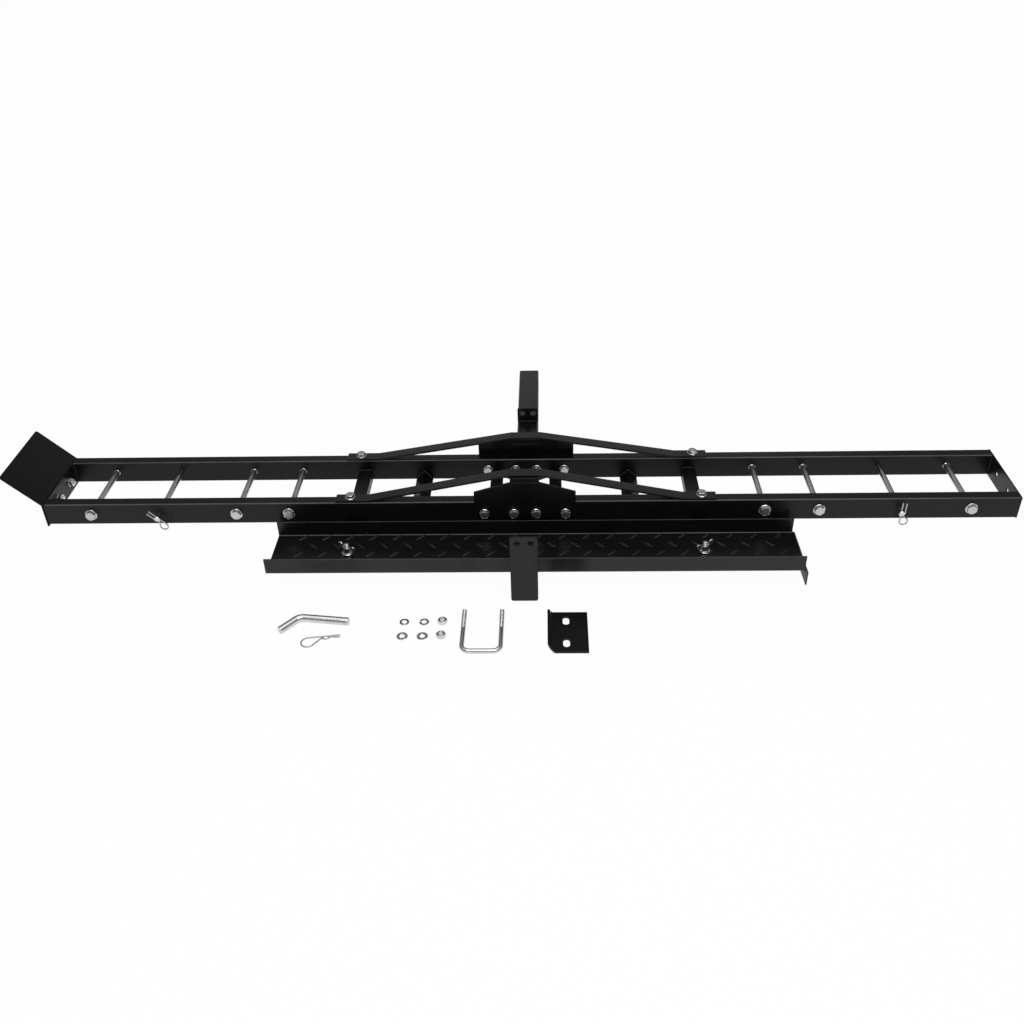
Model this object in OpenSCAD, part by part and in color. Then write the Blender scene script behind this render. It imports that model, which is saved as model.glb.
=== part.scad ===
// Hitch carrier for one motorcycle, laid out on the floor with its loose hardware in front.
// X runs along the wheel track, Y along the hitch bar towards the vehicle, Z is up.
// The origin is the centre of the hitch pin hole, on the axis of the hitch bar.

/* [Hitch bar] */
// Outer side of the square hitch bar
bar_side = 50.8; // [38:0.2:64]
// Wall of the hitch bar
bar_wall = 6.4; // [4:0.2:8]
// Distance from the pin hole to the open end of the bar
pin_to_end = 64; // [40:1:100]
// Diameter of the hitch pin hole
pin_hole_d = 16.5; // [12:0.1:20]
// Distance from the pin hole to the track
pin_to_track = 481; // [350:1:650]
// Distance from the track to the small tab on the bar
track_to_tab = 271; // [150:1:350]
// Thickness of the tab
tab_t = 5; // [3:0.5:8]
// Height of the tab above the bar
tab_h = 36; // [26:1:60]
// Height of the tab's holes above the bar
tab_hole_h = 22; // [14:1:26]
// Diameter of the holes in the tab and in the upright
plate_hole_d = 12.5; // [8:0.5:14]
// Spacing of the holes in the tab and in the upright
plate_hole_gap = 27; // [22:1:32]
// Thickness of the upright at the ramp end of the bar
upright_t = 5; // [3:0.5:8]
// Width of the upright
upright_w = 54; // [51:1:70]
// Height of the upright above the bar
upright_h = 105; // [50:1:140]
// Distance of the upright's holes below its top edge
upright_hole_drop = 14; // [12:1:30]
// Corner radius of the upright and the tab
plate_corner_r = 5; // [2:1:10]

/* [Track] */
// Length of the track over its end plates
track_len = 2030; // [1820:10:2400]
// Width of the track over the outer faces of the rails
track_w = 190; // [160:1:240]
// Width of a rail
rail_w = 25; // [20:1:40]
// Height of a rail
rail_h = 50; // [40:1:70]
// Wall of a rail
rail_wall = 2.5; // [1.5:0.5:4]
// Clear height between the hitch bar and the rails
rail_lift = 23; // [12:1:50]
// Thickness of the end plates
end_t = 3; // [2:0.5:6]
// Diameter of the bolt holes in the end plates
end_hole_d = 10.5; // [6:0.5:12]
// Spacing of the bolt holes in the end plates
end_hole_gap = 64; // [40:1:90]

/* [Stop plate] */
// Length of the raised part of the stop plate
stop_len = 100; // [60:1:160]
// Angle of the raised part above the horizontal
stop_angle = 45; // [20:1:80]
// Thickness of the stop plate
stop_t = 3; // [2:0.5:6]
// Corner radius of the raised part
stop_corner_r = 6; // [2:1:20]
// Distance that the stop plate stands out past each rail
stop_side = 1.5; // [0:0.5:5]
// Distance that the stop plate's leg reaches below the rails
stop_drop = 4; // [0:1:10]

/* [Centre brackets] */
// Half width of a gusset
gusset_half = 105; // [95:1:140]
// Thickness of a gusset
gusset_t = 5; // [3:0.5:8]
// Height of the front gusset's shoulder above the rail
front_shoulder = 26; // [5:1:40]
// Height of the rear gusset's shoulder above the rail
rear_shoulder = 28; // [5:1:36]
// Height of a gusset's lower corners above the rail's underside
gusset_low = 8; // [0:1:12]
// Height of the underside of the front arch above its rail
front_rise = 60; // [45:1:120]
// Height of the underside of the rear arch above its rail
rear_rise = 50; // [42:1:120]
// Thickness of the arch bar
arch_t = 5; // [3:0.5:10]
// Half length of the flat crown of the arch
crown_half = 31; // [20:1:60]
// Half span of the arch at its foot bends
arch_bend_half = 326; // [200:1:450]
// Half span of the arch at its foot ends
arch_half = 395; // [350:1:520]
// Distance of the arch bolts from the arch's ends
arch_bolt_edge = 30; // [20:1:40]
// Thickness of the pad between a gusset and an arch
pad_t = 11; // [4:1:20]
// Place of the inner gusset bolts, from the centre
gusset_bolt_in = 23; // [20:1:40]
// Distance of the outer gusset bolts from the gusset's edges
gusset_bolt_edge = 21; // [14:1:24]

/* [Cross members] */
// Distance of the outer cross tubes from the arch bolts, towards the centre
tube_in = 8; // [0:1:40]
// Width of an outer cross tube
tube_w = 30; // [20:1:40]
// Height of an outer cross tube
tube_h = 25; // [15:1:35]
// Wall of the cross tubes
tube_wall = 2; // [1.5:0.5:4]
// Distance of the centre cross tubes' middles from the gusset's edges
centre_tube_edge = 40.5; // [36:0.5:60]
// Width of a centre cross tube
centre_tube_w = 27; // [15:1:34]
// Height of a centre cross tube
centre_tube_h = 14; // [10:1:15]
// Place of the cross angles, from the centre
angle_x = 226; // [150:1:300]
// Leg of a cross angle
angle_leg = 27; // [20:1:35]
// Thickness of a cross angle
angle_t = 3; // [2:0.5:5]

/* [Cross rods and strap pins] */
// Diameter of a cross rod
rod_d = 12; // [8:0.5:14]
// Distance of the inner rods from the track's ends
rod_end_1 = 519; // [480:1:580]
// Distance of the middle rods from the track's ends
rod_end_2 = 408; // [320:1:440]
// Distance of the outer rods from the track's ends
rod_end_3 = 98; // [60:1:180]
// Distance of the strap pins from the track's ends
strap_end = 244; // [215:1:280]
// Diameter of a strap pin
strap_d = 12; // [8:0.5:14]
// Wire diameter of the strap pins' clips
clip_wire_d = 3; // [2:0.5:4]
// Distance that a strap pin stands out of the front rail
strap_proud = 20; // [14:1:30]
// Lean of the left clip, with its loop down
clip_lean_left = 45; // [0:1:90]
// Lean of the right clip, with its loop down
clip_lean_right = 0; // [0:1:90]

/* [Ramp] */
// Length of the ramp
ramp_len = 1075; // [900:5:1400]
// Distance of the ramp's middle from the centre of the track
ramp_shift = 17; // [-40:1:40]
// Width of the ramp
ramp_w = 132; // [110:1:180]
// Height of the ramp's flanges
ramp_flange = 37; // [20:1:60]
// Thickness of the ramp's plate
ramp_t = 3; // [2:0.5:5]
// Depth of the hook lip below the deck
ramp_lip = 34; // [15:1:50]
// Distance that the hook lip stands out past the ends of the flanges
lip_out = 7.5; // [0:0.5:15]
// Distance between the ramp and the track
ramp_gap = 15; // [15:0.5:40]
// Distance between the ramp and the upright
upright_gap = 20; // [2:0.5:40]
// Length of a tread bar
tread_len = 26; // [14:1:32]
// Width of a tread bar
tread_w = 5; // [3:0.5:8]
// Height of a tread bar
tread_h = 1.4; // [0.6:0.1:2.5]
// Spacing of the tread bars along the ramp
tread_pitch = 49.5; // [40:0.5:60]
// Number of rows of tread bars
tread_rows = 4; // [3:1:4]
// Spacing of the rows of tread bars
tread_row_gap = 29; // [20:1:32]
// Distance of the first row of tread bars from the flange at the track
tread_edge = 9; // [8:1:24]
// Lean of the tread bars
tread_lean = 45; // [20:1:60]
// Width of the arms below the ramp
arm_w = 30; // [24:1:40]
// Thickness of the arms below the ramp
arm_t = 5; // [3:0.5:8]

/* [Fasteners] */
// Thread diameter of the frame bolts
bolt_d = 10; // [8:0.5:12]
// Width across the flats of a nut or bolt head
hex_flats = 17; // [15:0.5:19]
// Height of a bolt head
head_h = 6.5; // [5:0.5:8]
// Height of a nut
nut_h = 8; // [6:0.5:10]
// Outer diameter of a washer of the frame bolts
washer_d = 20; // [18:0.5:24]
// Outer diameter of a washer of the arch bolts
arch_washer_d = 22; // [20:0.5:25]
// Width across the flats of a rod's head and nut
rod_flats = 19; // [17:0.5:21]
// Outer diameter of a rod's washer
rod_washer_d = 25; // [22:0.5:26]
// Outer diameter of the collar on a rod at the far rail
collar_d = 16; // [14:0.5:20]
// Thickness of a washer
washer_t = 2; // [1.5:0.5:3]
// Diameter of a wing nut's hub
wing_hub_d = 17; // [15:1:20]
// Height of a wing nut's hub
wing_hub_h = 11; // [8:1:14]
// Span of a wing nut over its wings
wing_span = 44; // [34:1:52]

/* [Loose hardware] */
// Diameter of the hitch pin
hitch_pin_d = 15.9; // [12:0.1:19]
// Length of the hitch pin's straight leg
hitch_pin_leg = 100; // [90:1:140]
// Length of the hitch pin's handle
hitch_pin_handle = 50; // [30:1:80]
// Wire diameter of the hitch pin's clip
hitch_clip_wire = 3; // [2:0.5:4]
// Length of the hitch pin clip's straight leg
hitch_clip_leg = 62; // [50:1:90]
// Distance from the hitch pin clip's bow to its loop
hitch_clip_reach = 34; // [28:1:50]
// Loop radius of the hitch pin's clip
hitch_clip_loop_r = 13; // [9:1:18]
// Rod diameter of the U bolt
u_rod_d = 10; // [8:0.5:12]
// Spacing of the U bolt's legs
u_spacing = 74; // [74:1:90]
// Length of the U bolt
u_len = 118; // [90:1:150]
// Bend radius of the U bolt at the middle of its rod
u_bend_r = 15; // [12:1:22]
// Length of the U bolt's threads
u_thread = 55; // [30:1:70]
// Width of the clamp plate
clamp_w = 78; // [60:1:100]
// Length of the clamp plate
clamp_len = 114; // [104:1:160]
// Thickness of the clamp plate
clamp_t = 5; // [3:0.5:8]
// Height of the clamp plate's lip
clamp_lip = 7.5; // [5:0.5:30]
// Length of the clamp plate's slots
slot_len = 24; // [16:1:30]
// Width of the clamp plate's slots
slot_w = 13; // [11:0.5:16]
// Spacing of the clamp plate's slots
slot_gap = 64; // [58:1:74]
// Distance of the slots from the clamp plate's lip edge
slot_edge = 36; // [28:1:50]
// Outer diameter of a spring washer
spring_washer_d = 19; // [17:0.5:22]

/* [Hidden] */
$fn = 48;
fit_gap = 0.25;
bar_top = bar_side / 2;
bar_bottom = -bar_side / 2;
track_back = -pin_to_track;
track_front = track_back - track_w;
rail_z0 = bar_top + rail_lift;
rail_z1 = rail_z0 + rail_h;
rail_mid = rail_z0 + rail_h / 2;
rear_rail_y = track_back - rail_w;
inner_w = track_w - 2 * rail_w;
inner_y = track_front + rail_w;
mid_y = (track_front + track_back) / 2;
rail_half = track_len / 2 - end_t;
ramp_y1 = track_front - ramp_gap;
ramp_y0 = ramp_y1 - ramp_w;
ramp_mid_y = (ramp_y0 + ramp_y1) / 2;
ramp_x0 = ramp_shift - ramp_len / 2;
deck_top = bar_top + ramp_t;
bar_near_y = ramp_y0 - upright_gap;
tab_y = track_back + track_to_tab + tab_t;
arch_bolt_x = arch_half - arch_bolt_edge;
stud_x = arch_bolt_x;
stud_proud = 10;
tread_shift = 0.25;
gusset_top_half = crown_half - 1;
gusset_bolt_out = gusset_half - gusset_bolt_edge;
centre_tube_x = gusset_half - centre_tube_edge;
rod_x1 = track_len / 2 - rod_end_1;
rod_x2 = track_len / 2 - rod_end_2;
rod_x3 = track_len / 2 - rod_end_3;
strap_x = track_len / 2 - strap_end;
hole_d = bolt_d + 2 * fit_gap;
bolt_proud = 3;
clip_leg = 45;
clip_loop_r = 8;
clip_reach = 22;
clip_from_tip = 6;
strap_head_d = 20;
strap_head_h = 5;
strap_clip_y = track_front - strap_proud + clip_from_tip;
pin_turn = 57;
pin_bend_r = 18;
pin_tip_back = 10;
stud_top = deck_top + tread_h + washer_t + wing_hub_h + stud_proud;
floor_z = bar_bottom;

// Places of the loose pieces on the floor, with Y from the middle of the kit
kit_gap = 260;
kit_y = track_front - kit_gap;
pin_x = -442;
pin_y = 30;
pin_lean = 7;
hitch_clip_x = -383;
hitch_clip_lean = 82;
near_row = -18;
far_row = 23;
u_bolt_x = -81;
u_bolt_y = -65;
clamp_x = 45;
clamp_y = -67;
washer_x1 = -235;
washer_x2 = -196;
nut_x = -160;
split_turn_1 = 280;
split_turn_2 = 170;

black = [0.05, 0.05, 0.055];
zinc = [0.78, 0.79, 0.8];

// Places of the rods, from left to right
rod_places = [-rod_x3, -rod_x2, -rod_x1, rod_x1, rod_x2, rod_x3];

// Places of the gusset bolts, from left to right
gusset_bolt_places = [-gusset_bolt_out, -gusset_bolt_in, gusset_bolt_in, gusset_bolt_out];

// A cylinder along Y, from y0 to y1
module along_y(x, y0, y1, z, d) {
    translate([x, y1, z]) rotate([90, 0, 0]) cylinder(d = d, h = y1 - y0);
}

// A cylinder along X, from x0 to x1
module along_x(x0, x1, y, z, d) {
    translate([x0, y, z]) rotate([0, 90, 0]) cylinder(d = d, h = x1 - x0);
}

// A flat outline of a rectangle with round corners, from a corner at the origin
module round_rect(w, h, r) {
    hull() for (x = [r, w - r], y = [r, h - r]) translate([x, y]) circle(r = r);
}

// The outline of a hexagon by its flats
module hex_2d(flats) {
    circle(d = flats / cos(30), $fn = 6);
}

// A bolt along -Z from the origin: head above, shank below
module bolt(len, d = bolt_d, flats = hex_flats) {
    linear_extrude(head_h) hex_2d(flats);
    translate([0, 0, -len]) cylinder(d = d, h = len);
}

// A ring that stands on the XY plane
module ring(outer, inner, t) {
    difference() {
        cylinder(d = outer, h = t);
        translate([0, 0, -1]) cylinder(d = inner, h = t + 2);
    }
}

// A nut that stands on the XY plane
module nut(d = bolt_d, flats = hex_flats) {
    difference() {
        linear_extrude(nut_h) hex_2d(flats);
        translate([0, 0, -1]) cylinder(d = d, h = nut_h + 2);
    }
}

// Turns a piece that stands along +Z so that it points towards the near side (-Y)
module face_near(x, y, z) {
    translate([x, y, z]) rotate([90, 0, 0]) children();
}

// Turns a piece that stands along +Z so that it points towards the vehicle (+Y)
module face_far(x, y, z) {
    translate([x, y, z]) rotate([-90, 0, 0]) children();
}

// A rectangular tube along X, from x0 to x1, with its low corner at y, z
module tube_x(x0, x1, y, z, w, h, wall) {
    difference() {
        translate([x0, y, z]) cube([x1 - x0, w, h]);
        translate([x0 - 1, y + wall, z + wall]) cube([x1 - x0 + 2, w - 2 * wall, h - 2 * wall]);
    }
}

// A rectangular tube along Y, from y0 to y1, centred on x, with its underside at z
module tube_y(x, y0, y1, z, w, h, wall) {
    difference() {
        translate([x - w / 2, y0, z]) cube([w, y1 - y0, h]);
        translate([x - w / 2 + wall, y0 - 1, z + wall]) cube([w - 2 * wall, y1 - y0 + 2, h - 2 * wall]);
    }
}

// The square hitch bar with its pin hole through both side walls
module hitch_bar() {
    color(black) difference() {
        tube_y(0, bar_near_y, pin_to_end, bar_bottom, bar_side, bar_side, bar_wall);
        along_x(-bar_side, bar_side, 0, 0, pin_hole_d);
    }
}

// The upright that closes the ramp end of the bar
module bar_upright() {
    color(black) translate([0, bar_near_y, 0]) rotate([90, 0, 0]) difference() {
        translate([-upright_w / 2, bar_bottom]) linear_extrude(upright_t)
            round_rect(upright_w, bar_side + upright_h, plate_corner_r);
        for (s = [-1, 1])
            translate([s * plate_hole_gap / 2, bar_top + upright_h - upright_hole_drop, -1])
                cylinder(d = plate_hole_d, h = upright_t + 2);
    }
}

// The small tab that stands across the bar behind the track
module bar_tab() {
    color(black) translate([0, tab_y, bar_top]) rotate([90, 0, 0]) difference() {
        linear_extrude(tab_t) union() {
            translate([-bar_side / 2, 0]) round_rect(bar_side, tab_h, plate_corner_r);
            translate([-bar_side / 2, 0]) square([bar_side, tab_h / 2]);
        }
        for (s = [-1, 1])
            translate([s * plate_hole_gap / 2, tab_hole_h, -1]) cylinder(d = plate_hole_d, h = tab_t + 2);
    }
}

// The outline of a gusset, with Z measured from the rail's top
module gusset_2d(shoulder, rise) {
    foot = bar_top - rail_z1;
    top = rise - pad_t;
    polygon([[-bar_side / 2, foot], [bar_side / 2, foot],
             [gusset_half, gusset_low - rail_h], [gusset_half, shoulder],
             [gusset_top_half, top], [-gusset_top_half, top],
             [-gusset_half, shoulder], [-gusset_half, gusset_low - rail_h]]);
}

// A gusset whose vehicle-side face lies at y, below an arch of the given rise
module gusset(y, shoulder, rise) {
    color(black) difference() {
        translate([0, y, rail_z1]) rotate([90, 0, 0]) linear_extrude(gusset_t) gusset_2d(shoulder, rise);
        for (x = gusset_bolt_places) along_y(x, y - gusset_t - 1, y + 1, rail_mid, hole_d);
    }
}

module gusset_front() { gusset(track_front, front_shoulder, front_rise); }
module gusset_rear() { gusset(track_back + gusset_t, rear_shoulder, rear_rise); }

// Half a rail, on the side given by s, with its near face at y
module rail(s, y) {
    color(black) difference() {
        tube_x(s < 0 ? -rail_half : 0, s < 0 ? 0 : rail_half, y, rail_z0, rail_w, rail_h, rail_wall);
        for (x = [gusset_bolt_in, gusset_bolt_out])
            along_y(s * x, y - 1, y + rail_w + 1, rail_mid, hole_d);
        for (x = [rod_x1, rod_x2, rod_x3])
            along_y(s * x, y - 1, y + rail_w + 1, rail_mid, rod_d + 2 * fit_gap);
        along_y(s * strap_x, y - 1, y + rail_w + 1, rail_mid, strap_d + 2 * fit_gap);
        translate([s * arch_bolt_x, y + rail_w / 2, rail_z0 - 1]) cylinder(d = hole_d, h = rail_h + 2);
    }
}

module rail_front_left() { rail(-1, track_front); }
module rail_front_right() { rail(1, track_front); }
module rail_rear_left() { rail(-1, rear_rail_y); }
module rail_rear_right() { rail(1, rear_rail_y); }

// An end plate across the rails, on the side given by s
module end_plate(s) {
    x0 = s < 0 ? -track_len / 2 : rail_half;
    color(black) difference() {
        translate([x0, track_front, rail_z0]) cube([end_t, track_w, rail_h]);
        for (t = [-1, 1])
            along_x(x0 - 1, x0 + end_t + 1, mid_y + t * end_hole_gap / 2, rail_mid, end_hole_d);
    }
}

module end_plate_left() { end_plate(-1); }
module end_plate_right() { end_plate(1); }

// The wheel stop: a leg bolted to the left end plate and a raised part bent outwards
module stop_plate() {
    x = -track_len / 2;
    y0 = track_front - stop_side;
    w = track_w + 2 * stop_side;
    color(black) union() {
        difference() {
            translate([x - stop_t, y0, rail_z0 - stop_drop]) cube([stop_t, w, rail_h + stop_drop]);
            for (t = [-1, 1])
                along_x(x - stop_t - 1, x + 1, mid_y + t * end_hole_gap / 2, rail_mid, end_hole_d);
        }
        translate([x, y0, rail_z1]) rotate([0, stop_angle, 0]) {
            translate([-stop_len, 0, -stop_t]) linear_extrude(stop_t) union() {
                round_rect(stop_len, w, stop_corner_r);
                translate([stop_len / 2, 0]) square([stop_len / 2, w]);
            }
        }
    }
}

// The two bolts, washers and nuts that hold the stop plate
module stop_bolts() {
    x = -track_len / 2;
    color(zinc) for (t = [-1, 1]) translate([x, mid_y + t * end_hole_gap / 2, rail_mid]) {
        translate([-stop_t, 0, 0]) rotate([0, -90, 0])
            bolt(stop_t + end_t + washer_t + nut_h + bolt_proud, end_hole_d - 2 * fit_gap);
        translate([end_t, 0, 0]) rotate([0, 90, 0]) {
            ring(washer_d, end_hole_d - 2 * fit_gap, washer_t);
            translate([0, 0, washer_t]) nut(end_hole_d - 2 * fit_gap);
        }
    }
}

// The side view of an arch bar, with Z measured from the rail's top
module arch_2d(rise) {
    polygon([[-arch_half, 0], [-arch_bend_half, 0], [-crown_half, rise], [crown_half, rise],
             [arch_bend_half, 0], [arch_half, 0], [arch_half, arch_t], [arch_bend_half - 1, arch_t],
             [crown_half - 1, rise + arch_t], [-crown_half + 1, rise + arch_t],
             [-arch_bend_half + 1, arch_t], [-arch_half, arch_t]]);
}

// An arch bar on the rail whose near face lies at y
module arch(y, rise) {
    color(black) difference() {
        translate([0, y + rail_w, rail_z1]) rotate([90, 0, 0]) linear_extrude(rail_w) arch_2d(rise);
        for (s = [-1, 1])
            translate([s * arch_bolt_x, y + rail_w / 2, rail_z1 - 1]) cylinder(d = hole_d, h = arch_t + 2);
    }
}

module arch_front() { arch(track_front, front_rise); }
module arch_rear() { arch(rear_rail_y, rear_rise); }

// The pads that carry the crowns of the arches on the gussets
module arch_pads() {
    color(black) {
        translate([-gusset_top_half, track_front - gusset_t, rail_z1 + front_rise - pad_t])
            cube([2 * gusset_top_half, rail_w + gusset_t, pad_t]);
        translate([-gusset_top_half, rear_rail_y, rail_z1 + rear_rise - pad_t])
            cube([2 * gusset_top_half, rail_w + gusset_t, pad_t]);
    }
}

// Each place of an arch bolt, at the top of its arch, with what it grips below the rail
module at_arch_bolts() {
    for (s = [-1, 1], y = [track_front, rear_rail_y]) {
        $extra_grip = y == track_front ? arm_t : 0;
        translate([s * arch_bolt_x, y + rail_w / 2, rail_z1 + arch_t]) children();
    }
}

module arch_bolts() {
    color(zinc) at_arch_bolts() {
        ring(arch_washer_d, bolt_d, washer_t);
        translate([0, 0, washer_t])
            bolt(washer_t + arch_t + rail_h + $extra_grip + washer_t + nut_h + bolt_proud);
    }
}

module arch_nuts() {
    color(zinc) at_arch_bolts() translate([0, 0, -arch_t - rail_h - $extra_grip]) {
        translate([0, 0, -washer_t]) ring(arch_washer_d, bolt_d, washer_t);
        translate([0, 0, -washer_t - nut_h]) nut();
    }
}

// The cross tubes between the rails, flush with their undersides
module cross_tube(x) {
    color(black) tube_y(x, inner_y, inner_y + inner_w, rail_z0, tube_w, tube_h, tube_wall);
}

module cross_tube_left() { cross_tube(tube_in - arch_bolt_x); }
module cross_tube_right() { cross_tube(arch_bolt_x - tube_in); }

module centre_tube(x) {
    color(black)
        tube_y(x, inner_y, inner_y + inner_w, rail_z0, centre_tube_w, centre_tube_h, tube_wall);
}

module centre_tube_left() { centre_tube(-centre_tube_x); }
module centre_tube_right() { centre_tube(centre_tube_x); }

// An angle between the rails with its ridge up
module cross_angle(x) {
    color(black) translate([x, inner_y + inner_w, rail_z0 + (angle_leg + angle_t) / sqrt(2)]) rotate([90, 45, 0])
        translate([0, -angle_leg, 0]) linear_extrude(inner_w) difference() {
            square(angle_leg);
            translate([angle_t, -1]) square([angle_leg, angle_leg - angle_t + 1]);
        }
}

module cross_angle_left() { cross_angle(-angle_x); }
module cross_angle_right() { cross_angle(angle_x); }

// The gusset bolts: heads and washers on the near faces
module gusset_bolts() {
    grip = gusset_t + rail_w;
    color(zinc) for (x = gusset_bolt_places) {
        face_near(x, track_front - gusset_t, rail_mid) {
            ring(washer_d, bolt_d, washer_t);
            translate([0, 0, washer_t]) bolt(washer_t + grip + washer_t + nut_h + bolt_proud);
        }
        face_near(x, rear_rail_y, rail_mid) {
            ring(washer_d, bolt_d, washer_t);
            translate([0, 0, washer_t]) bolt(washer_t + grip + washer_t + nut_h + bolt_proud);
        }
    }
}

// The gusset nuts and their washers, on the faces away from the heads
module gusset_nuts() {
    color(zinc) for (x = gusset_bolt_places, y = [track_front + rail_w, track_back + gusset_t])
        face_far(x, y, rail_mid) {
            ring(washer_d, bolt_d, washer_t);
            translate([0, 0, washer_t]) nut();
        }
}

// A cross rod: a long bolt through both rails
module rod(i) {
    color(zinc) face_near(rod_places[i], track_front - washer_t, rail_mid)
        bolt(track_w + 2 * washer_t + nut_h + bolt_proud, rod_d, rod_flats);
}

// The washers under the rods' heads and nuts, and the collars at the far rail
module rod_washers() {
    color(zinc) for (x = rod_places) {
        face_near(x, track_front, rail_mid) ring(rod_washer_d, rod_d, washer_t);
        face_near(x, rear_rail_y, rail_mid) ring(collar_d, rod_d, washer_t);
        face_far(x, track_back, rail_mid) ring(rod_washer_d, rod_d, washer_t);
    }
}

module rod_nuts() {
    color(zinc) for (x = rod_places) face_far(x, track_back + washer_t, rail_mid) nut(rod_d, rod_flats);
}

// The lean of the clip on the side given by s
function clip_lean(s) = s < 0 ? clip_lean_left : clip_lean_right;

// A strap pin: a headed pin through both rails, cross drilled at its near end
module strap_pin(s) {
    near = track_front - strap_proud;
    color(zinc) difference() {
        union() {
            along_y(s * strap_x, near, track_back + fit_gap, rail_mid, strap_d);
            along_y(s * strap_x, track_back + fit_gap, track_back + fit_gap + strap_head_h, rail_mid,
                    strap_head_d);
        }
        translate([s * strap_x, strap_clip_y, rail_mid]) rotate([0, -clip_lean(s), 0])
            cylinder(d = clip_wire_d + 2 * fit_gap, h = 2 * strap_d, center = true);
    }
}

module strap_pin_left() { strap_pin(-1); }
module strap_pin_right() { strap_pin(1); }

// Points along an arc in the plane
function arc_points(c, r, a0, a1, n) =
    [for (i = [0 : n]) c + r * [cos(a0 + (a1 - a0) * i / n), sin(a0 + (a1 - a0) * i / n)]];

// The direction across a path at its point i
function across(path, i) =
    let (last = len(path) - 1, d = path[min(i + 1, last)] - path[max(i - 1, 0)])
    [-d[1], d[0]] / norm(d);

// A round wire along a path in the XY plane
module wire(path, d) {
    sides = 8;
    last = len(path) - 1;
    rings = [for (i = [0 : last], k = [0 : sides - 1])
        let (a = 360 * k / sides, n = across(path, i))
        [path[i][0] + d / 2 * cos(a) * n[0], path[i][1] + d / 2 * cos(a) * n[1], d / 2 * sin(a)]];
    walls = [for (i = [0 : last - 1], k = [0 : sides - 1], t = [0, 1])
        let (a = i * sides + k, b = i * sides + (k + 1) % sides)
        t == 0 ? [a, b, b + sides] : [a, b + sides, a + sides]];
    caps = [[for (k = [sides - 1 : -1 : 0]) k], [for (k = [0 : sides - 1]) last * sides + k]];
    polyhedron(points = rings, faces = concat(walls, caps), convexity = 6);
}

// The path of a spring clip: a straight leg on X = 0, a loop at -Y and a leg bowed round a pin.
// The bow closes over a pin of its own, and stays open where the pin has to pass it.
function clip_path(pin_d, wire_d, leg, reach, loop_r, closed) =
    let (bow_r = pin_d / 2 + wire_d / 2 + 2 * fit_gap, bow_end = 62, loop_turn = 230)
    concat([[0, leg - reach], [0, (leg - reach) / 2], [0, 0], [0, -reach / 2]],
           arc_points([loop_r, -reach], loop_r, 180, 180 + loop_turn, 14),
           arc_points([0, 0], bow_r, -bow_end, closed ? bow_end : 0, 8),
           closed ? [[wire_d + 0.6, bow_r + 1.6 * wire_d], [wire_d + 3, leg - reach - 1]]
                  : [[bow_r, bow_r], [bow_r + 2, leg - reach - 1]]);

// A clip through a strap pin, bowed to the side away from the centre
module strap_clip(s) {
    color(zinc) translate([s * strap_x, strap_clip_y, rail_mid]) rotate([0, -clip_lean(s), 0])
        rotate([90, 0, 0]) mirror([s < 0 ? 1 : 0, 0, 0])
            wire(clip_path(strap_d, clip_wire_d, clip_leg, clip_reach, clip_loop_r, false), clip_wire_d);
}

module strap_clip_left() { strap_clip(-1); }
module strap_clip_right() { strap_clip(1); }

// Raised bars in rows that lean to and fro
module tread_bars() {
    n = floor(ramp_len / tread_pitch);
    for (r = [0 : tread_rows - 1], i = [0 : n - 1 - r % 2])
        translate([ramp_shift + (i - (n - 1) / 2 + (r % 2) / 2 + tread_shift) * tread_pitch,
                   ramp_y1 - ramp_t - tread_edge - r * tread_row_gap, deck_top])
            rotate([0, 0, r % 2 == 0 ? tread_lean : -tread_lean])
                translate([-tread_len / 2, -tread_w / 2, 0]) cube([tread_len, tread_w, tread_h]);
}

// The ramp: a channel with a tread deck and a hook lip at its right end
module ramp() {
    color(black) difference() {
        union() {
            translate([ramp_x0, ramp_y0, bar_top]) cube([ramp_len + lip_out, ramp_w, ramp_t]);
            for (y = [ramp_y0, ramp_y1 - ramp_t])
                translate([ramp_x0, y, bar_top]) cube([ramp_len, ramp_t, ramp_flange]);
            translate([ramp_x0 + ramp_len + lip_out - ramp_t, ramp_y0, bar_top - ramp_lip])
                cube([ramp_t, ramp_w, ramp_lip]);
            tread_bars();
        }
        for (s = [-1, 1])
            translate([s * stud_x, ramp_mid_y, bar_top - 1])
                cylinder(d = bolt_d + 4, h = ramp_t + tread_h + 2);
    }
}

// An arm below the ramp: clamped under the near rail, stepped down, with a stud for the wing nut
module ramp_arm(s) {
    reach_y = ramp_mid_y - arm_w / 2;
    step_y = track_front - ramp_gap / 2 - arm_t / 2;
    color(black) difference() {
        union() {
            translate([s * stud_x - arm_w / 2, step_y, rail_z0 - arm_t])
                cube([arm_w, track_front + rail_w - step_y, arm_t]);
            translate([s * stud_x - arm_w / 2, step_y, bar_top - arm_t]) cube([arm_w, arm_t, rail_lift]);
            translate([s * stud_x - arm_w / 2, reach_y, bar_top - arm_t])
                cube([arm_w, step_y + arm_t - reach_y, arm_t]);
            translate([s * stud_x, ramp_mid_y, bar_top - arm_t])
                cylinder(d = bolt_d, h = stud_top - bar_top + arm_t);
        }
        translate([s * stud_x, track_front + rail_w / 2, rail_z0 - arm_t - 1])
            cylinder(d = hole_d, h = arm_t + 2);
    }
}

module ramp_arm_left() { ramp_arm(-1); }
module ramp_arm_right() { ramp_arm(1); }

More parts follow.
